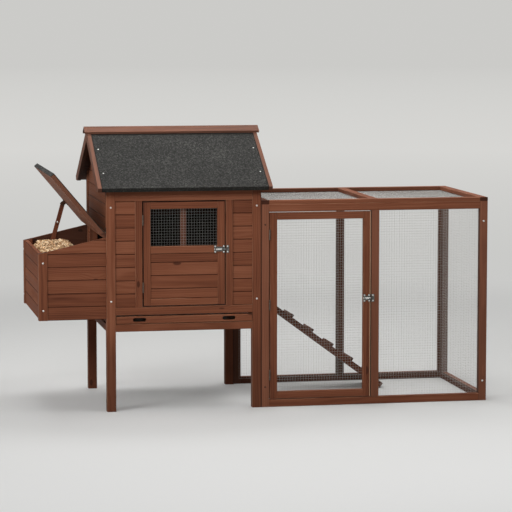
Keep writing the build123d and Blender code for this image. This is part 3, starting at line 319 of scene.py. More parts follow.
class Tree:
    """Short ways to add nodes to one material, or to a world."""

    def __init__(self, name, kind="materials"):
        self.material = getattr(bpy.data, kind).new(name)
        self.material.use_nodes = True
        self.nodes = self.material.node_tree.nodes
        self.links = self.material.node_tree.links
        self.shader = self.nodes["Principled BSDF" if kind == "materials" else "Background"]

    def feed(self, socket, value):
        """Links a node's output to a socket, or sets a constant on it."""
        if isinstance(value, bpy.types.NodeSocket):
            self.links.new(value, socket)
        else:
            socket.default_value = value

    def add(self, kind, **settings):
        node = self.nodes.new(kind)
        for key, value in settings.items():
            setattr(node, key, value)
        return node

    def place(self):
        return self.add("ShaderNodeTexCoord").outputs["Object"]

    def facing(self):
        return self.add("ShaderNodeTexCoord").outputs["Normal"]

    def math(self, operation, a, b=0.0, clamp=False):
        node = self.add("ShaderNodeMath", operation=operation, use_clamp=clamp)
        self.feed(node.inputs[0], a)
        self.feed(node.inputs[1], b)
        return node.outputs[0]

    def total(self, layers):
        """Sum of (value, weight) layers."""
        result = 0.0
        for value, weight in layers:
            result = self.math("ADD", result, self.math("MULTIPLY", value, weight))
        return result

    def vector(self, operation, a, b=(0, 0, 0)):
        node = self.add("ShaderNodeVectorMath", operation=operation)
        self.feed(node.inputs[0], a)
        self.feed(node.inputs[1], b)
        return node.outputs["Value" if operation in ("LENGTH", "DOT_PRODUCT") else "Vector"]

    def scale(self, vector, share):
        node = self.add("ShaderNodeVectorMath", operation="SCALE")
        self.feed(node.inputs[0], vector)
        self.feed(node.inputs["Scale"], share)
        return node.outputs["Vector"]

    def split(self, vector):
        node = self.add("ShaderNodeSeparateXYZ")
        self.feed(node.inputs[0], vector)
        return node.outputs

    def join(self, x, y, z):
        node = self.add("ShaderNodeCombineXYZ")
        for socket, value in zip(node.inputs, (x, y, z)):
            self.feed(socket, value)
        return node.outputs[0]

    def spread(self, value, low, high, to_low=0.0, to_high=1.0):
        """Value carried from one span to another, held at the ends, with a soft step."""
        node = self.add("ShaderNodeMapRange", interpolation_type="SMOOTHSTEP")
        for socket, part in zip(node.inputs, (value, low, high, to_low, to_high)):
            self.feed(socket, part)
        return node.outputs[0]

    def noise(self, place, scale, detail, roughness=0.5):
        node = self.add("ShaderNodeTexNoise")
        self.feed(node.inputs["Vector"], self.vector("MULTIPLY", place, scale))
        self.feed(node.inputs["Scale"], 1.0)
        self.feed(node.inputs["Detail"], detail)
        self.feed(node.inputs["Roughness"], roughness)
        return node.outputs["Fac"]

    def cells(self, place, flat=False):
        """Distance to the nearest of the points scattered one to a cell, and the cell's random colour."""
        node = self.add("ShaderNodeTexVoronoi", voronoi_dimensions="2D" if flat else "3D")
        self.feed(node.inputs["Vector"], place)
        self.feed(node.inputs["Scale"], 1.0)
        return node.outputs["Distance"], node.outputs["Color"]

    def chance(self, cell):
        """Random value and random colour of a cell with whole coordinates."""
        node = self.add("ShaderNodeTexWhiteNoise", noise_dimensions="3D")
        self.feed(node.inputs["Vector"], cell)
        return node.outputs["Value"], node.outputs["Color"]

    def mix(self, share, a, b):
        """Colour a with a share of colour b over it."""
        node = self.add("ShaderNodeMix", data_type="RGBA")
        self.feed(node.inputs[0], share)
        for socket, value in zip(node.inputs[6:8], (a, b)):
            self.feed(socket, value if isinstance(value, bpy.types.NodeSocket) else (*value, 1))
        return node.outputs[2]

    def ramp(self, value, stops):
        """Colour by value, from (place, colour) stops."""
        node = self.add("ShaderNodeValToRGB")
        bar = node.color_ramp.elements
        while len(bar) < len(stops):
            bar.new(0.5)
        for element, (place, colour) in zip(bar, stops):
            element.position = place
            element.color = (*colour, 1)
        self.feed(node.inputs[0], value)
        return node.outputs[0]

    def bump(self, height, distance, strength):
        node = self.add("ShaderNodeBump")
        self.feed(node.inputs["Height"], height)
        self.feed(node.inputs["Distance"], distance)
        self.feed(node.inputs["Strength"], strength)
        self.feed(self.shader.inputs["Normal"], node.outputs[0])

    def finish(self, colour, roughness, **constants):
        """Feeds the shader, with what is the same all over set on its own sockets."""
        self.feed(self.shader.inputs["Base Color"], colour)
        self.feed(self.shader.inputs["Roughness"], roughness)
        for key, value in constants.items():
            self.shader.inputs[key.replace("_", " ")].default_value = value
        return self.material

    def overlay(self, share, other, output):
        """Shows a share of another shader over the tree's own one."""
        both = self.add("ShaderNodeMixShader")
        for socket, value in zip(both.inputs, (share, self.shader.outputs[0], other.outputs[0])):
            self.feed(socket, value)
        self.feed(self.nodes[output].inputs["Surface"], both.outputs[0])
        return self.material


def slab(axis, least, most):
    """Box between two places on one axis, endless along the other two."""
    low = [-ENDLESS] * 3
    high = [ENDLESS] * 3
    low["XYZ".index(axis)] = least
    high["XYZ".index(axis)] = most
    return low, high


def box_mask(tree, parts, low, high):
    """1 inside a box and 0 outside it."""
    mask = 1.0
    for part, least, most in zip(parts, low, high):
        above = tree.math("GREATER_THAN", part, least)
        below = tree.math("LESS_THAN", part, most)
        mask = tree.math("MULTIPLY", mask, tree.math("MULTIPLY", above, below))
    return mask


def any_box(tree, parts, boxes):
    """1 inside any of some (low, high) boxes and 0 outside them."""
    mask = 0.0
    for low, high in boxes:
        mask = tree.math("MAXIMUM", mask, box_mask(tree, parts, low, high))
    return mask


def looks_along(tree, parts, facing, way):
    """How far a face looks one way, or from its own side towards the plane y = 0."""
    if way == TO_MIDDLE:
        side = tree.math("SIGN", parts[1])
        return tree.math("MULTIPLY", tree.math("MULTIPLY", tree.split(facing)[1], side), -1.0)
    return tree.vector("DOT_PRODUCT", facing, way)


def turned(tree, vector, fold, turn):
    """Vector with y folded to one side and turned, so that tilted timber lies along an axis."""
    if fold:
        x, y, z = tree.split(vector)
        vector = tree.join(x, tree.math("ABSOLUTE", y), z)
    if turn is None:
        return vector
    node = tree.add("ShaderNodeVectorRotate", rotation_type=turn[0] + "_AXIS")
    tree.feed(node.inputs["Vector"], vector)
    tree.feed(node.inputs["Angle"], math.radians(turn[1]))
    return node.outputs[0]


def grain_frame(tree, parts, normals, along, swap):
    """Place with the grain as its first axis, and how squarely a face cuts across the grain.

    swap lists (low, high) boxes in which sticks of the piece run along the y axis instead.
    """
    order = {"X": (0, 1, 2), "Y": (1, 0, 2), "Z": (2, 0, 1)}[along]
    grain = tree.join(*(parts[i] for i in order))
    end = normals[order[0]]
    if swap:
        inside = any_box(tree, parts, swap)
        outside = tree.math("SUBTRACT", 1.0, inside)
        other = tree.join(parts[1], parts[0], parts[2])
        grain = tree.vector("ADD", tree.scale(grain, outside), tree.scale(other, inside))
        end = tree.total(((end, outside), (normals[1], inside)))
    return grain, end


def knots(tree, own):
    """Mask of the knots, and of the wood around them that bends past."""
    x, y, z = tree.split(own)
    along = tree.math("MULTIPLY", x, KNOT_CELLS[0])
    across = tree.math("MULTIPLY", tree.math("ADD", y, z), KNOT_CELLS[1])
    distance, colour = tree.cells(tree.join(along, across, 0.0), flat=True)
    pick, size = tree.split(colour)[:2]
    chosen = tree.math("GREATER_THAN", pick, KNOT_RARE)
    radius = tree.math("ADD", tree.math("MULTIPLY", size, KNOT_R_SPAN), KNOT_R)
    rim = tree.math("MULTIPLY", radius, KNOT_RIM)
    knot = tree.math("MULTIPLY", tree.spread(distance, rim, radius), chosen)
    bend = tree.math("MULTIPLY", tree.spread(distance, *KNOT_BEND), chosen)
    return knot, bend


def growth_rings(tree, own, bend):
    """Year rings about a pith outside the stick, pushed aside by knots."""
    across = tree.vector("MULTIPLY", own, (0.0, 1.0, 1.0))
    radius = tree.vector("LENGTH", tree.vector("SUBTRACT", across, PITH))
    wander = tree.noise(own, *RING_WARP)
    radius = tree.math("ADD", radius, tree.math("MULTIPLY", wander, RING_WANDER))
    radius = tree.math("ADD", radius, tree.math("MULTIPLY", bend, KNOT_PUSH))
    wave = tree.math("SINE", tree.math("MULTIPLY", radius, 2 * math.pi / RING))
    return tree.spread(wave, *LATE_WOOD)


def stain(tree, own, rings, fibres, streaks, chance, tone):
    """Colour of the stain, by the layers of the grain and the stick's own chance."""
    blotches = tree.noise(own, *BLOTCHES)
    layers = [(rings, RING_SHARE)]
    for layer, share in (
        (fibres, FIBRE_SHARE), (streaks, STREAK_SHARE), (blotches, BLOTCH_SHARE), (chance, STICK_SHARE),
    ):
        layers.append((tree.math("SUBTRACT", layer, 0.5), share))
    shade = tree.math("ADD", tree.total(layers), MIDDLE_SHADE + tone, clamp=True)
    return tree.ramp(shade, ((0.0, STAIN_DARK), (0.5, STAIN_MID), (1.0, STAIN_LIGHT)))


def bleach_sheen_and_foot_shade(tree, colour, height, bleach_and_sheen, foot_shade):
    """Colour paler by bleach and painted sheen, and darker near the ground by painted shade."""
    if bleach_and_sheen:
        colour = tree.mix(bleach_and_sheen, colour, BLEACH_AND_SHEEN)
    if foot_shade:
        colour = tree.mix(tree.spread(height, *FOOT_SHADE_TOP, foot_shade, 0.0), colour, DARK_WOOD_AND_SHADE)
    return colour


def edged(tree, colour, own, normals, edge_wear_and_light):
    """Colour with eased edges lighter by wear and painted highlight, or with painted shade in board
    grooves where the setting is negative.
    """
    flat = tree.math("MAXIMUM", tree.math("MAXIMUM", normals[0], normals[1]), normals[2])
    edge = tree.spread(flat, *EASED)
    if edge_wear_and_light < 0:
        return tree.mix(tree.math("MULTIPLY", edge, -edge_wear_and_light), colour, DARK_WOOD_AND_SHADE)
    patchy = tree.spread(tree.noise(own, *WORN_PATCHES), *WORN_SPAN)
    return tree.mix(tree.math("MULTIPLY", tree.math("MULTIPLY", edge, patchy), edge_wear_and_light), colour, RAW_WOOD_AND_EDGE_LIGHT)


def marked(tree, colour, parts, raw, shade_lines):
    """Colour with boxes left bare, and boxes of painted shade along gaps and seams."""
    if raw:
        colour = tree.mix(any_box(tree, parts, raw), colour, RAW_WOOD_AND_EDGE_LIGHT)
    if shade_lines:
        shade_mask = tree.math("MULTIPLY", any_box(tree, parts, shade_lines), SEAM_SHADE_SHARE)
        colour = tree.mix(shade_mask, colour, SEAM_SHADE)
    return colour


def wood(
    name, along, cell, origin=FAR_CORNER, fold=False, turn=None, swap=(), tone=0.0, bleach_and_sheen=0.0, foot_shade=0.0,
    edge_wear_and_light=0.2, ends=0.6, gloss=0.12, raw=(), shade_lines=(), inner=(), dim=1.0,
):
    """Stained fir with its grain along an axis. Each cell of the given size is a stick of its own.

    origin is a corner of one cell, fold and turn bring tilted timber in line with the axes, and swap lists
    boxes where sticks run along the y axis instead. tone makes the stain lighter, or darker below 0, and
    foot_shade is how much painted shade darkens it near the ground. bleach_and_sheen is how much pale grey
    lies over it, partly bleach and partly painted sheen and light. edge_wear_and_light is how much lighter
    the eased edges are, by wear and painted highlight, or how much painted shade darkens the board grooves
    below 0, and ends is how dark the end grain is. raw lists boxes left without stain, and shade_lines
    boxes of painted shade along gaps and seams. inner lists the ways that faces on the inside look, and
    dim how much painted shade darkens them.
    """
    tree = Tree(name)
    place = turned(tree, tree.place(), fold, turn)
    facing = turned(tree, tree.facing(), fold, turn)
    parts = tree.split(place)
    normals = tree.split(tree.vector("ABSOLUTE", facing))
    grain, end = grain_frame(tree, parts, normals, along, swap)
    stick = tree.vector("FLOOR", tree.vector("DIVIDE", tree.vector("SUBTRACT", place, origin), cell))
    chance, shift = tree.chance(stick)
    own = tree.vector("ADD", grain, tree.vector("MULTIPLY", shift, STICK_SHIFT))

    knot, bend = knots(tree, own)
    rings = growth_rings(tree, own, bend)
    fibres = tree.noise(own, *FIBRES)
    streaks = tree.noise(own, *STREAKS)
    colour = stain(tree, own, rings, fibres, streaks, chance, tone)
    # Pale grey as bleach and painted sheen, and painted shade at the feet
    colour = bleach_sheen_and_foot_shade(tree, colour, parts[2], bleach_and_sheen, foot_shade)
    colour = tree.mix(tree.math("MULTIPLY", knot, KNOT_SHARE), colour, DARK_WOOD_AND_SHADE)
    # Eased edges: lighter by wear and painted highlight, or darker by painted shade in board grooves
    colour = edged(tree, colour, own, normals, edge_wear_and_light)
    colour = tree.mix(tree.spread(end, *END_GRAIN, 0.0, ends), colour, DARK_WOOD_AND_SHADE)
    # Painted shade along gaps and seams
    colour = marked(tree, colour, parts, raw, shade_lines)
    # Painted shade on faces that look inward
    for way in inner:
        inward = looks_along(tree, parts, facing, way)
        colour = tree.mix(tree.spread(inward, *INWARD_SHADE_SPAN, 0.0, dim), colour, INSIDE_SHADE)
    tree.bump(tree.math("ADD", tree.math("MULTIPLY", rings, RING_RELIEF), fibres), *WOOD_RELIEF)
    return tree.finish(colour, tree.spread(streaks, *WOOD_ROUGH), Specular_IOR_Level=gloss)


def felt_material(name, shade_lines=()):
    """Bitumen felt with mineral granules, with painted shade where it is folded down and painted shadow
    lines along the seams.
    """
    tree = Tree(name)
    place = tree.place()
    distance, granule = tree.cells(tree.scale(place, FELT_GRIT))
    grit = tree.split(granule)[0]
    clumps = tree.split(tree.cells(tree.scale(place, FELT_CLUMPS))[1])[1]
    patches = tree.noise(place, *FELT_PATCHES)
    shade = tree.total(zip((grit, clumps, patches), FELT_SHARES))
    colour = tree.ramp(shade, FELT_STOPS)
    # Painted shade on the upright folds
    upright = tree.spread(tree.math("ABSOLUTE", tree.split(tree.facing())[2]), *FELT_FOLD)
    colour = tree.mix(tree.math("MULTIPLY", upright, FELT_FOLD_SHADE_SHARE), colour, FELT_FOLD_SHADE)
    # Painted shadow lines along the barge boards and ridge
    if shade_lines:
        shade_mask = tree.math("MULTIPLY", any_box(tree, tree.split(place), shade_lines), FELT_SEAM_SHADE_SHARE)
        colour = tree.mix(shade_mask, colour, FELT_SEAM_SHADE)
    tree.bump(tree.math("ADD", tree.math("SUBTRACT", 1.0, distance), grit), *FELT_RELIEF)
    return tree.finish(colour, tree.spread(grit, *FELT_ROUGH), Specular_IOR_Level=FELT_GLOSS)


def steel_material(name, base, bright, rough):
    """Zinc-plated steel with faint spangle and scuffs."""
    tree = Tree(name)
    place = tree.place()
    spangle = tree.split(tree.cells(tree.scale(place, SPANGLE))[1])[0]
    scuffs = tree.noise(place, *SCUFFS)
    colour = tree.mix(tree.total(zip((spangle, scuffs), STEEL_SHARES)), base, bright)
    tree.bump(scuffs, *STEEL_RELIEF)
    return tree.finish(colour, tree.spread(scuffs, *SCUFF_SPAN, rough, rough + SCUFF_DULL), Metallic=1.0)


def shavings_material():
    """Pale softwood shavings, each curl a little different, with growth lines."""
    tree = Tree("pale_shavings")
    place = tree.place()
    patches = tree.noise(place, *CURL_PATCHES)
    lines = tree.noise(place, *CURL_LINES)
    colour = tree.ramp(tree.total(zip((patches, lines), CURL_SHARES)), CURL_STOPS)
    tree.bump(lines, *CURL_RELIEF)
    return tree.finish(colour, tree.spread(lines, *CURL_ROUGH), Specular_IOR_Level=CURL_GLOSS)


def mesh_piece(name, points, faces, body, slot, material, *nodes):
    """A piece from points and faces that rides a body and stands for CAD nodes."""
    mesh = bpy.data.meshes.new(name)
    mesh.from_pydata(points, [], faces)
    mesh.update()
    piece = bpy.data.objects.new(name, mesh)
    bpy.context.scene.collection.objects.link(piece)
    mesh.materials.append(material)
    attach(piece, body)
    if nodes:
        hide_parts(*nodes)


def wire(points, faces, path, side, out):
    """Adds one round wire along a path, with two directions across it."""
    start = len(points)
    for centre in path:
        for step in range(WIRE_SIDES):
            angle = 2 * math.pi * step / WIRE_SIDES
            points.append(centre + WIRE_R * (math.cos(angle) * side + math.sin(angle) * out))
    for ring in range(len(path) - 1):
        low = start + ring * WIRE_SIDES
        for step in range(WIRE_SIDES):
            after = (step + 1) % WIRE_SIDES
            faces.append((low + step, low + after, low + WIRE_SIDES + after, low + WIRE_SIDES + step))
    faces.append(tuple(range(start + WIRE_SIDES - 1, start - 1, -1)))
    faces.append(tuple(range(len(points) - WIRE_SIDES, len(points))))


def net_sheet(points, faces, low, high, sag):
    """Adds one sheet of welded netting that fills a flat box: two layers of wires that touch."""
    size = high - low
    thin = min(range(3), key=lambda i: size[i])
    u, v = (i for i in range(3) if i != thin)
    axes = [Vector(axis) for axis in ((1, 0, 0), (0, 1, 0), (0, 0, 1))]
    middle = (low[thin] + high[thin]) / 2

    def point(a, b, layer):
        place = Vector((0, 0, 0))
        place[u] = low[u] + WIRE_R + a * (size[u] - 2 * WIRE_R)
        place[v] = low[v] + WIRE_R + b * (size[v] - 2 * WIRE_R)
        place[thin] = middle + layer * WIRE_R + sag * math.sin(math.pi * a) * math.sin(math.pi * b)
        return place

    steps = [step / WIRE_STEPS for step in range(WIRE_STEPS + 1)]
    across = round(size[v] / NET_PITCH)
    along = round(size[u] / NET_PITCH)
    for row in range(across + 1):
        wire(points, faces, [point(a, row / across, -1) for a in steps], axes[v], axes[thin])
    for column in range(along + 1):
        wire(points, faces, [point(column / along, b, 1) for b in steps], axes[u], axes[thin])


def net_piece(node, body, material, sheets, sag=0.0):
    """Sheets of netting that stand for a node's coarse net."""
    points = []
    faces = []
    for low, high in sheets:
        net_sheet(points, faces, low, high, sag)
    mesh_piece(node.replace("mesh", "netting"), points, faces, body, "wire_mesh", material, node)


def two_bays(node, bay_width):
    """The two sheets of a node that has one at each end of its box."""
    low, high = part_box(node)
    left_high = Vector((low.x + bay_width, high.y, high.z))
    right_low = Vector((high.x - bay_width, low.y, low.z))
    return [(low, left_high), (right_low, high)]


def netting(material, bright):
    """Netting of true pitch in place of the coarse nets, with a brighter copy of the wire on the run's top
    as painted light.
    """
    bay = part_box("run_front_mesh")
    width = bay[1].x - bay[0].x
    net_piece("coop_door_mesh", "coop_door", material, [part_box("coop_door_mesh")])
    net_piece("run_door_mesh", "run_door", material, [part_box("run_door_mesh")], NET_SAG)
    net_piece("run_front_mesh", "coop", material, [bay], NET_SAG)
    net_piece("run_side_mesh", "coop", material, [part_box("run_side_mesh")], -NET_SAG)
    net_piece("run_back_mesh", "coop", material, two_bays("run_back_mesh", width), -NET_SAG)
    # Top sheet in the brighter copy of the wire, as painted light
    net_piece("run_top_mesh", "coop", bright, two_bays("run_top_mesh", width), -TOP_SAG)


def head_spots(node):
    """Foot and outward direction of each separate screw head of a CAD node."""
    copy = bmesh.new()
    copy.from_mesh(NODES[node].data)
    bmesh.ops.remove_doubles(copy, verts=copy.verts, dist=SAME_POINT)
    left = set(copy.faces)
    spots = []
    while left:
        group = [left.pop()]
        for face in group:
            near = {other for vert in face.verts for other in vert.link_faces} & left
            left -= near
            group.extend(near)
        spots.append(flat_side(group))
    copy.free()
    return spots


def flat_side(group):
    """Centre of a solid's largest flat side, and the direction away from it through the solid."""
    sides = {}
    for face in group:
        sides.setdefault(tuple(round(part, 2) for part in face.normal), []).append(face)
    base = max(sides.values(), key=lambda faces: sum(face.calc_area() for face in faces))
    rim = {vert for face in base for vert in face.verts}
    return sum((vert.co for vert in rim), Vector()) / len(rim), -base[0].normal


def screw_head(radius, pit):
    """Points and faces of one cross-recessed pan head, standing on the origin along z."""
    height = SCREW_UP * radius
    shape = bmesh.new()
    rings = []
    for share, up in SCREW_PROFILE:
        ring = []
        for step in range(SCREW_SIDES):
            angle = 2 * math.pi * step / SCREW_SIDES
            spot = (share * radius * math.cos(angle), share * radius * math.sin(angle), up * height)
            ring.append(shape.verts.new(spot))
        rings.append(ring)
    for upper, lower in zip(rings, rings[1:]):
        for step in range(SCREW_SIDES):
            after = (step + 1) % SCREW_SIDES
            shape.faces.new((upper[step], lower[step], lower[after], upper[after]))
    shape.faces.new(rings[-1][::-1])
    recess(shape, rings[0], radius, pit)
    points = [vert.co.copy() for vert in shape.verts]
    shape.verts.index_update()
    faces = [tuple(vert.index for vert in face.verts) for face in shape.faces]
    shape.free()
    return points, faces


def recess(shape, rim, radius, pit):
    """Closes a screw head's top with a cross-shaped pit."""
    up = rim[0].co.z
    arm, half, deep = CROSS_ARM * radius, CROSS_HALF * radius, pit * radius
    corners = []
    for turn in range(4):
        angle = turn * math.pi / 2
        out = Vector((math.cos(angle), math.sin(angle), 0))
        side = Vector((-math.sin(angle), math.cos(angle), 0))
        corners += [out * half - side * half, out * arm - side * half, out * arm + side * half]
    top = [shape.verts.new((c.x, c.y, up)) for c in corners]
    floor = [shape.verts.new((c.x * CROSS_TAPER, c.y * CROSS_TAPER, up - deep)) for c in corners]
    for step in range(len(top)):
        after = (step + 1) % len(top)
        shape.faces.new((top[after], top[step], floor[step], floor[after]))
    shape.faces.new(floor)
    edges = [shape.edges.get(pair) or shape.edges.new(pair) for pair in zip(top, top[1:] + top[:1])]
    edges += [shape.edges.get(pair) for pair in zip(rim, rim[1:] + rim[:1])]
    bmesh.ops.triangle_fill(shape, edges=edges, use_beauty=True)
    bmesh.ops.recalc_face_normals(shape, faces=shape.faces)


def screw_piece(name, body, material, spots, radius, *nodes, pit=SCREW_PIT):
    """Screw heads at (foot, outward) spots, each turned at random about its own axis."""
    luck = random.Random(name)
    head_points, head_faces = screw_head(radius, pit)
    points = []
    faces = []
    for foot, outward in spots:
        spin = Matrix.Rotation(luck.uniform(*SCREW_TURN), 3, "Z")
        turn = outward.to_track_quat("Z", "Y").to_matrix() @ spin
        start = len(points)
        points += [turn @ point + foot for point in head_points]
        faces += [tuple(start + index for index in face) for face in head_faces]
    mesh_piece(name, points, faces, body, "screw_steel", material, *nodes)


def head_groups():
    """Spots of the CAD screws: in the felt, in the run's left posts and elsewhere."""
    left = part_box("run_posts")[0].x
    groups = {"screw_heads": [], "felt_screws": [], "stained_screws": []}
    for foot, outward in head_spots("screws"):
        if outward.z >= ROOF_SIDE:
            group = "felt_screws"
        elif left < foot.x < left + LEFT_POSTS:
            group = "stained_screws"
        else:
            group = "screw_heads"
        groups[group].append((foot, outward))
    return groups


def plate_spots(node, rows_x):
    """Spots of two small screws on a bolt's plate, or on the keeper beside it, at each x."""
    low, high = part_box(node)
    heights = (low.z + PLATE_SCREW_IN, high.z - PLATE_SCREW_IN)
    return [(Vector((x, high.y - BOLT_PLATE_T, z)), Vector(TO_FRONT)) for x in rows_x for z in heights]


def elbow_spot():
    """Spot on the stay's upper arm, over the pivot at the top of its lower arm."""
    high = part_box("stay_lower_arm")[1]
    front_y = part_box("stay_upper_arm")[1].y - STAY_T
    return Vector((high.x - STAY_W / 2, front_y, high.z - STAY_W / 2)), Vector(TO_FRONT)


def small_screws(material):
    """Small screws in the bolts' plates and their keepers, and the screw of the stay's elbow."""
    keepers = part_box("bolt_keepers")
    keeper_x = {"coop": keepers[0].x + KEEPER_LENGTH / 2, "run": keepers[1].x - KEEPER_LENGTH / 2}
    keeper_spots = []
    for door, x in keeper_x.items():
        plate = door + "_bolt_plate"
        low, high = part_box(plate)
        spots = plate_spots(plate, (low.x + BOLT_FLANGE / 2, high.x - BOLT_FLANGE / 2))
        screw_piece(door + "_bolt_screws", door + "_door", material, spots, SMALL_SCREW_R)
        keeper_spots += plate_spots(plate, [x])
    screw_piece("keeper_screws", "coop", material, keeper_spots, SMALL_SCREW_R)
    screw_piece("stay_screw", "stay_upper", material, [elbow_spot()], STAY_SCREW_R, pit=STAY_SCREW_PIT)


def screws(material, stained):
    """A detailed head on each screw; those in the run's left posts are stained over with the wood."""
    groups = head_groups()
    screw_piece("screw_heads", "coop", material, groups["screw_heads"], SCREW_R, "screws")
    screw_piece("felt_screws", "coop", material, groups["felt_screws"], FELT_SCREW_R)
    screw_piece("stained_screws", "coop", stained, groups["stained_screws"], SCREW_R)
    small_screws(material)


def wave(radians, a, b):
    """Sine wave over the heap, from its radians along, its radians across and its start."""
    along, across, start = radians
    return math.sin(along * a + across * b + start)


def heap_height(a, b):
    """Height of the bedding as a share of its crown.

    a runs from the nest's outer end to the opening, and b from its front to its back.
    """
    rise = HEAP_SHOULDER + (1 - HEAP_SHOULDER) * a / HEAP_CROWN[0]
    fall = 1 - (1 - HEAP_LOW) * (a - HEAP_CREST) / (1 - HEAP_CREST)
    sides = HEAP_SHOULDER + (1 - HEAP_SHOULDER) * min(b, 1 - b) / HEAP_CROWN[1]
    lumps = 0.0
    for height, first, second in HEAP_LUMPS:
        lumps += height * wave(first, a, b) * wave(second, a, b)
    return min(1, rise, fall, sides) - HEAP_SUNK + lumps


def heap_point(low, size, a, b):
    return Vector((low.x + a * size.x, low.y + b * size.y, low.z + size.z * heap_height(a, b)))


def heap(points, faces, low, size):
    """Adds the lumpy heap, closed by upright sides and a flat base."""
    length, width = HEAP_CELLS
    for i in range(length + 1):
        for j in range(width + 1):
            points.append(heap_point(low, size, i / length, j / width))
    across = width + 1
    for i in range(length):
        for j in range(width):
            base = i * across + j
            faces.append((base, base + across, base + across + 1, base + 1))
    rim = list(range(width))
    rim += [i * across + width for i in range(length)]
    rim += [length * across + j for j in range(width, 0, -1)]
    rim += [i * across for i in range(length, 0, -1)]
    foot = len(points)
    points += [Vector((points[index].x, points[index].y, low.z)) for index in rim]
    for step in range(len(rim)):
        after = (step + 1) % len(rim)
        faces.append((rim[step], rim[after], foot + after, foot + step))
    faces.append(tuple(range(foot, len(points))))


def curl(points, faces, centre, turn, luck):
    """Adds one shaving: a thin strip rolled into part of a loop, that stands little above the heap."""
    width = luck.uniform(*CURL_WIDTH)
    radius = luck.uniform(*CURL_R)
    sweep = luck.uniform(*CURL_SWEEP)
    skew = luck.uniform(*CURL_SKEW)
    start = len(points)
    for step in range(CURL_STEPS + 1):
        angle = sweep * step / CURL_STEPS
        grow = radius * (1 + CURL_OPENS * step / CURL_STEPS)
        shift = skew * step / CURL_STEPS
        for side in (-0.5, 0.5):
            local = Vector((grow * math.cos(angle), side * width + shift, grow * math.sin(angle)))
            spot = centre + turn @ local
            spot.z = min(spot.z, centre.z + CURL_PROUD)
            points.append(spot)
    for step in range(CURL_STEPS):
        base = start + 2 * step
        faces.append((base, base + 1, base + 3, base + 2))


def shavings(material):
    """Loose shavings: a lumpy closed heap under many single curls."""
    luck = random.Random(CURL_SEED)
    low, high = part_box("nest_shavings")
    size = high - low
    points = []
    faces = []
    heap(points, faces, low, size)
    for _ in range(CURLS):
        a = luck.uniform(*CURL_ALONG)
        b = luck.uniform(*CURL_ACROSS)
        centre = heap_point(low, size, a, b) + Vector((0, 0, luck.uniform(*CURL_DEPTH)))
        turn = Matrix.Rotation(luck.uniform(*CURL_TURN), 3, "Z")
        turn = turn @ Matrix.Rotation(luck.uniform(*CURL_TILT), 3, "X")
        turn = turn @ Matrix.Rotation(luck.uniform(*CURL_TURN), 3, "Y")
        curl(points, faces, centre, turn, luck)
    mesh_piece("loose_shavings", points, faces, "coop", "wood_shavings", material, "nest_shavings")


def coop_middle():
    """Place on the x axis of the middle of the coop's front."""
    low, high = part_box("coop_rails")
    return (low.x + high.x) / 2


def rows(node, along, first=0.0, split_x=-ENDLESS / 2, **more):
    """Settings of level boards, each row a stick; first is the height of a lowest row that differs."""
    low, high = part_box("coop_front_boards")
    row = (high.z - low.z) / BOARD_ROWS
    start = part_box(node)[0].z + first - (row if first else 0)
    origin = (split_x, -ENDLESS / 2, start)
    return dict(along=along, cell=(ENDLESS, ENDLESS, row), origin=origin, edge_wear_and_light=BOARD_GROOVE_SHADE, **more)


def post_shade_line():
    """Boxes along the line where the run's posts stand against the coop's, for a painted shadow line."""
    seam_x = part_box("run_posts")[0].x
    return [slab("X", seam_x - SEAM, seam_x + SEAM)]


def door_gap_shade():
    """Boxes along the coop door's outer edges, for painted shade beside the gap."""
    low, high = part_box("coop_door_stiles")
    return [
        slab("X", -ENDLESS, low.x + SEAM),
        slab("X", high.x - SEAM, ENDLESS),
        slab("Z", -ENDLESS, low.z + SEAM),
        slab("Z", high.z - SEAM, ENDLESS),
    ]


def felt_shade_lines():
    """Boxes along the roof's barge boards and ridge, for painted shadow lines on the felt."""
    low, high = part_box("roof_felt")
    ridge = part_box("ridge_planks")[1].y + FELT_SEAM
    return [
        slab("X", low.x, low.x + FELT_SEAM),
        slab("X", high.x - FELT_SEAM, high.x),
        slab("Y", -ridge, ridge),
    ]


def top_crosspieces():
    """Boxes round the sticks of the run's top frame that run from front to back."""
    low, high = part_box("run_top_frame")
    return [
        slab("X", -ENDLESS, low.x + RUN_STILE),
        slab("X", high.x - RUN_STILE, ENDLESS),
        slab("Y", low.y + RUN_STILE, high.y - RUN_STILE),
    ]


def closing_edge():
    """Box along the run door's closing edge, where the stain didn't reach."""
    low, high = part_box("run_door_stiles")
    return (high.x - RAW_STRIP, -ENDLESS, low.z), (ENDLESS, ENDLESS, high.z)


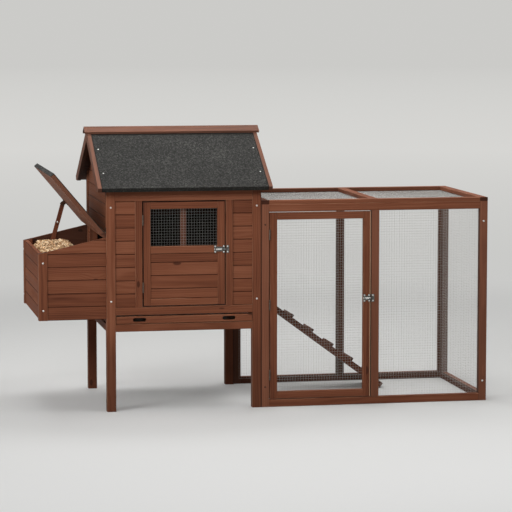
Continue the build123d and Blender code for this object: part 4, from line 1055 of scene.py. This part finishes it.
def coop_wood():
    """Grain and stain of the coop's frame, walls, roof and fittings."""
    middle_x = coop_middle()
    crosswise = dict(along="Y", cell=(APART, ENDLESS, ENDLESS))
    roof = dict(fold=True, turn=("X", ROOF_PITCH))
    # Ridge and barge boards: darker stain under pale grey that is painted sheen from the light above
    greyed_with_sheen = dict(tone=-0.18, bleach_and_sheen=0.3)
    return {
        # Posts: painted shade darkens their feet
        "coop_posts": dict(
            along="Z", cell=(APART, APART, ENDLESS), origin=(0, APART / 2, 0), tone=-0.03, foot_shade=0.4,
            shade_lines=post_shade_line(),
        ),
        # Rails and wall boards: painted shade on the faces that look into the coop
        "coop_rails": dict(
            along="X", cell=(ENDLESS, APART, RAIL_ROW), origin=(-ENDLESS / 2, APART / 2, RAIL_FIRST),
            inner=[TO_MIDDLE],
        ),
        "coop_side_rails": crosswise,
        "coop_door_jambs": dict(
            along="Z", cell=(APART, SIDE_APART, ENDLESS), origin=(middle_x, 0, 0),
        ),
        "coop_front_boards": rows("coop_front_boards", "X", split_x=middle_x, inner=[TO_BACK]),
        "coop_back_boards": rows("coop_back_boards", "X", inner=[TO_FRONT]),
        "coop_left_boards": rows("coop_left_boards", "Y", tone=0.2, inner=[TO_RIGHT]),
        "coop_right_boards": rows("coop_right_boards", "Y", inner=[TO_LEFT]),
        "coop_side_battens": dict(along="Z", cell=(APART, STILE_APART, ENDLESS)),
        "tray_runners": crosswise,
        "tray_front": dict(along="X", cell=WHOLE),
        # Perch: darker all over, and painted shade on its front face
        "perch": dict(along="X", cell=WHOLE, tone=-0.5, inner=[TO_FRONT], dim=0.8),
        "perch_brackets": dict(along="Z", cell=(APART, ENDLESS, ENDLESS)),
        # Roof panels and barge boards: painted shade on their undersides
        "roof_panels": dict(along="X", cell=(ENDLESS, PLANK, ENDLESS), inner=[DOWN], **roof),
        "barge_boards": dict(inner=[DOWN], dim=0.75, **greyed_with_sheen, **crosswise, **roof),
        "ridge_planks": dict(along="X", cell=(ENDLESS, SIDE_APART, ENDLESS), **greyed_with_sheen, **roof),
    }


def coop_door_wood():
    """Grain and stain of the coop's door."""
    rails_from = (-ENDLESS / 2, -ENDLESS / 2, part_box("coop_door_rails")[0].z)
    shade_lines = door_gap_shade()
    return {
        "coop_door_stiles": dict(
            along="Z", cell=(STILE_APART, SIDE_APART, ENDLESS), origin=(coop_middle(), 0, 0), shade_lines=shade_lines,
        ),
        "coop_door_rails": dict(
            along="X", cell=(ENDLESS, ENDLESS, PLANK), origin=rails_from, shade_lines=shade_lines,
        ),
        # Door boards: painted shade on the face that looks into the coop
        "coop_door_boards": rows(
            "coop_door_boards", "X", DOOR_FIRST_ROW, tone=-0.04, inner=[TO_BACK], dim=0.5,
        ),
        # Mullion behind the window: darker as painted shade, under pale grey
        "coop_door_mullion": dict(along="Z", cell=WHOLE, tone=-0.55, bleach_and_sheen=0.25),
    }


def nest_wood():
    """Grain and stain of the nest box, its lid and the lid's stay."""
    stay = dict(along="X", cell=WHOLE, turn=("Y", STAY_TILT), tone=-0.14)
    return {
        "nest_corner_posts": dict(
            along="Z", cell=(ENDLESS, APART, ENDLESS), origin=(0, APART / 2, 0),
        ),
        # Nest walls: painted shade on the faces that look into the nest
        "nest_side_boards": rows("nest_side_boards", "X", tone=-0.05, inner=[TO_MIDDLE], dim=0.72),
        "nest_end_boards": rows("nest_end_boards", "Y", gloss=0.05, inner=[TO_RIGHT], dim=0.72),
        "nest_floor": dict(along="Y", cell=(FLOOR_PLANK, ENDLESS, ENDLESS)),
        # Lid: lighter and paler, as painted light on its underside
        "nest_lid_board": dict(
            along="Y", cell=(PLANK, ENDLESS, ENDLESS), turn=("Y", LID_TILT), tone=0.5, bleach_and_sheen=0.2,
        ),
        "stay_lower_arm": stay,
        "stay_upper_arm": stay,
    }


def run_wood():
    """Grain and stain of the run, its door and the ramp."""
    front_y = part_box("run_front_mesh")[0].y
    hinge_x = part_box("run_door_stiles")[0].x
    # Ramp and cleats darker all over, as painted shade
    ramp = dict(turn=("Y", -RAMP_TILT), tone=-0.45)
    return {
        # Run posts, rails and top frame: painted shade on faces that look into the run, and on the posts'
        # and rails' faces towards the coop
        "run_posts": dict(
            along="Z", cell=(APART, -front_y, ENDLESS), origin=(RUN_POSTS_FROM, front_y, 0),
            tone=0.05, bleach_and_sheen=0.12, shade_lines=post_shade_line(), inner=[TO_MIDDLE, TO_LEFT], dim=0.55,
        ),
        "run_rails": dict(
            along="X", cell=(ENDLESS, -front_y, PLANK), origin=(-ENDLESS / 2, front_y, 0),
            swap=[slab("Y", front_y, -front_y)], inner=[TO_MIDDLE, TO_LEFT], dim=0.6,
        ),
        "run_top_frame": dict(
            along="X", cell=(ENDLESS, APART, ENDLESS), swap=top_crosspieces(), ends=0.95,
            inner=[TO_MIDDLE], dim=0.35,
        ),
        "run_door_stiles": dict(
            along="Z", cell=(STILE_APART, SIDE_APART, ENDLESS), origin=(hinge_x + STILE_APART, 0, 0),
            raw=[closing_edge()],
        ),
        "run_door_rails": dict(along="X", cell=(ENDLESS, ENDLESS, APART)),
        "ramp_board": dict(along="X", cell=WHOLE, **ramp),
        "ramp_cleats": dict(along="Y", cell=(CLEAT_APART, ENDLESS, ENDLESS), **ramp),
    }


def dress(node, material):
    """Gives a CAD node one material."""
    for slot in NODES[node].material_slots:
        slot.link = "OBJECT"
        slot.material = material


def dress_nodes(steels):
    """Wood, felt and steel on the CAD nodes."""
    for settings in (coop_wood(), coop_door_wood(), nest_wood(), run_wood()):
        for node, cut in settings.items():
            dress(node, wood(node + "_wood", **cut))
    dress("roof_felt", felt_material("roof_felt_grit", felt_shade_lines()))
    dress("nest_lid_felt", felt_material("lid_felt_grit"))
    for part in frame["record"]["subparts"]:
        if part["material_slot"] == "galvanised_hardware":
            dress(part["node"], steels["zinc_hinges"])
    for finish, nodes in STEEL_NODES.items():
        for node in nodes:
            dress(node, steels[finish])


def stage_piece(name, points, faces, material):
    """A smooth piece of the studio, which isn't part of the object."""
    mesh = bpy.data.meshes.new(name)
    mesh.from_pydata(points, [], faces)
    mesh.materials.append(material)
    for polygon in mesh.polygons:
        polygon.use_smooth = True
    piece = bpy.data.objects.new(name, mesh)
    bpy.context.scene.collection.objects.link(piece)


def seen_ray(tree):
    """1 for what the camera sees directly, in metal or through glass, and 0 for light that bounces."""
    path = tree.add("ShaderNodeLightPath").outputs
    seen = tree.math("MAXIMUM", path["Is Glossy Ray"], path["Is Transmission Ray"])
    return tree.math("MAXIMUM", path["Is Camera Ray"], seen)


def paper_material():
    """Pale paper with painted light under the coop that lifts the object's shadow, and that fades into the
    background away from the object.
    """
    tree = Tree("studio_paper")
    place = tree.place()
    seen = seen_ray(tree)
    mottles = tree.noise(place, *MOTTLES)
    colour = tree.mix(tree.spread(tree.split(place)[1], *FRONT_FADE), FRONT_PAPER, FLOOR_PAPER)
    # Painted light under the coop
    under = tree.vector("LENGTH", tree.vector("SUBTRACT", place, PAINTED_LIGHT_PLACE))
    colour = tree.mix(tree.spread(under, *PAINTED_LIGHT_REACH), colour, PAINTED_LIGHT_PAPER)
    colour = tree.mix(tree.math("MULTIPLY", mottles, MOTTLE_SHARE), colour, MOTTLED)
    colour = tree.scale(colour, tree.math("MAXIMUM", seen, BOUNCE))
    tree.finish(colour, PAPER_ROUGH, Specular_IOR_Level=PAPER_GLOSS)

    away = tree.vector("LENGTH", place)
    stops = [(radius / FLOOR_R, shade) for radius, shade in FAR_FLOOR]
    glow = tree.add("ShaderNodeEmission")
    tree.feed(glow.inputs["Color"], tree.ramp(tree.math("DIVIDE", away, FLOOR_R), stops))
    share = tree.math("MULTIPLY", tree.spread(away, *FLOOR_FADE), seen)
    return tree.overlay(share, glow, "Material Output")


def studio():
    """Wide pale floor."""
    points = []
    for step in range(FLOOR_SIDES):
        angle = 2 * math.pi * step / FLOOR_SIDES
        points.append((FLOOR_R * math.cos(angle), FLOOR_R * math.sin(angle), 0.0))
    stage_piece("studio_floor", points, [tuple(range(FLOOR_SIDES))], paper_material())


def lamp(name, place, aim, size, power, spread):
    """Soft lamp of (width, height) at a place, turned towards a point; spread is its cone in degrees."""
    light = bpy.data.lights.new(name, "AREA")
    light.shape = "RECTANGLE"
    light.size, light.size_y = size
    light.energy = power
    light.spread = math.radians(spread)
    piece = bpy.data.objects.new(name, light)
    bpy.context.scene.collection.objects.link(piece)
    piece.location = place
    piece.rotation_mode = "QUATERNION"
    piece.rotation_quaternion = (Vector(aim) - Vector(place)).to_track_quat("-Z", "Y")
    piece.visible_camera = False


def sky():
    """World that lights softly from all sides and shows as the background's own colour."""
    tree = Tree("studio", "worlds")
    tree.feed(tree.shader.inputs["Color"], (1, 1, 1, 1))
    tree.feed(tree.shader.inputs["Strength"], SOFT_LIGHT)
    shown = tree.add("ShaderNodeBackground")
    tree.feed(shown.inputs["Color"], (*SKY, 1))
    bpy.context.scene.world = tree.overlay(seen_ray(tree), shown, "World Output")


def camera():
    """Camera at the photograph's viewing angle."""
    data = bpy.data.cameras.new("camera")
    data.lens = CAMERA_LENS
    data.sensor_width = CAMERA_FILM
    data.clip_end = CAMERA_REACH
    eye = bpy.data.objects.new("camera", data)
    eye.location = CAMERA_PLACE
    eye.rotation_euler = (math.radians(90 - CAMERA_PITCH), 0, math.radians(-CAMERA_YAW))
    bpy.context.scene.collection.objects.link(eye)
    bpy.context.scene.camera = eye


def main():
    """Dresses the CAD nodes, adds the pieces, and sets up the studio round them."""
    steels = {name: steel_material(name, *finish) for name, finish in STEELS.items()}
    dress_nodes(steels)
    netting(steels["zinc_wire"], steels["painted_light_wire"])
    screws(steels["zinc_screws"], steels["stained_and_shade_dark_steel"])
    shavings(shavings_material())
    studio()
    for name, setting in LAMPS.items():
        lamp(name, *setting)
    sky()
    camera()
    bpy.context.scene.view_settings.view_transform = "Standard"


main()
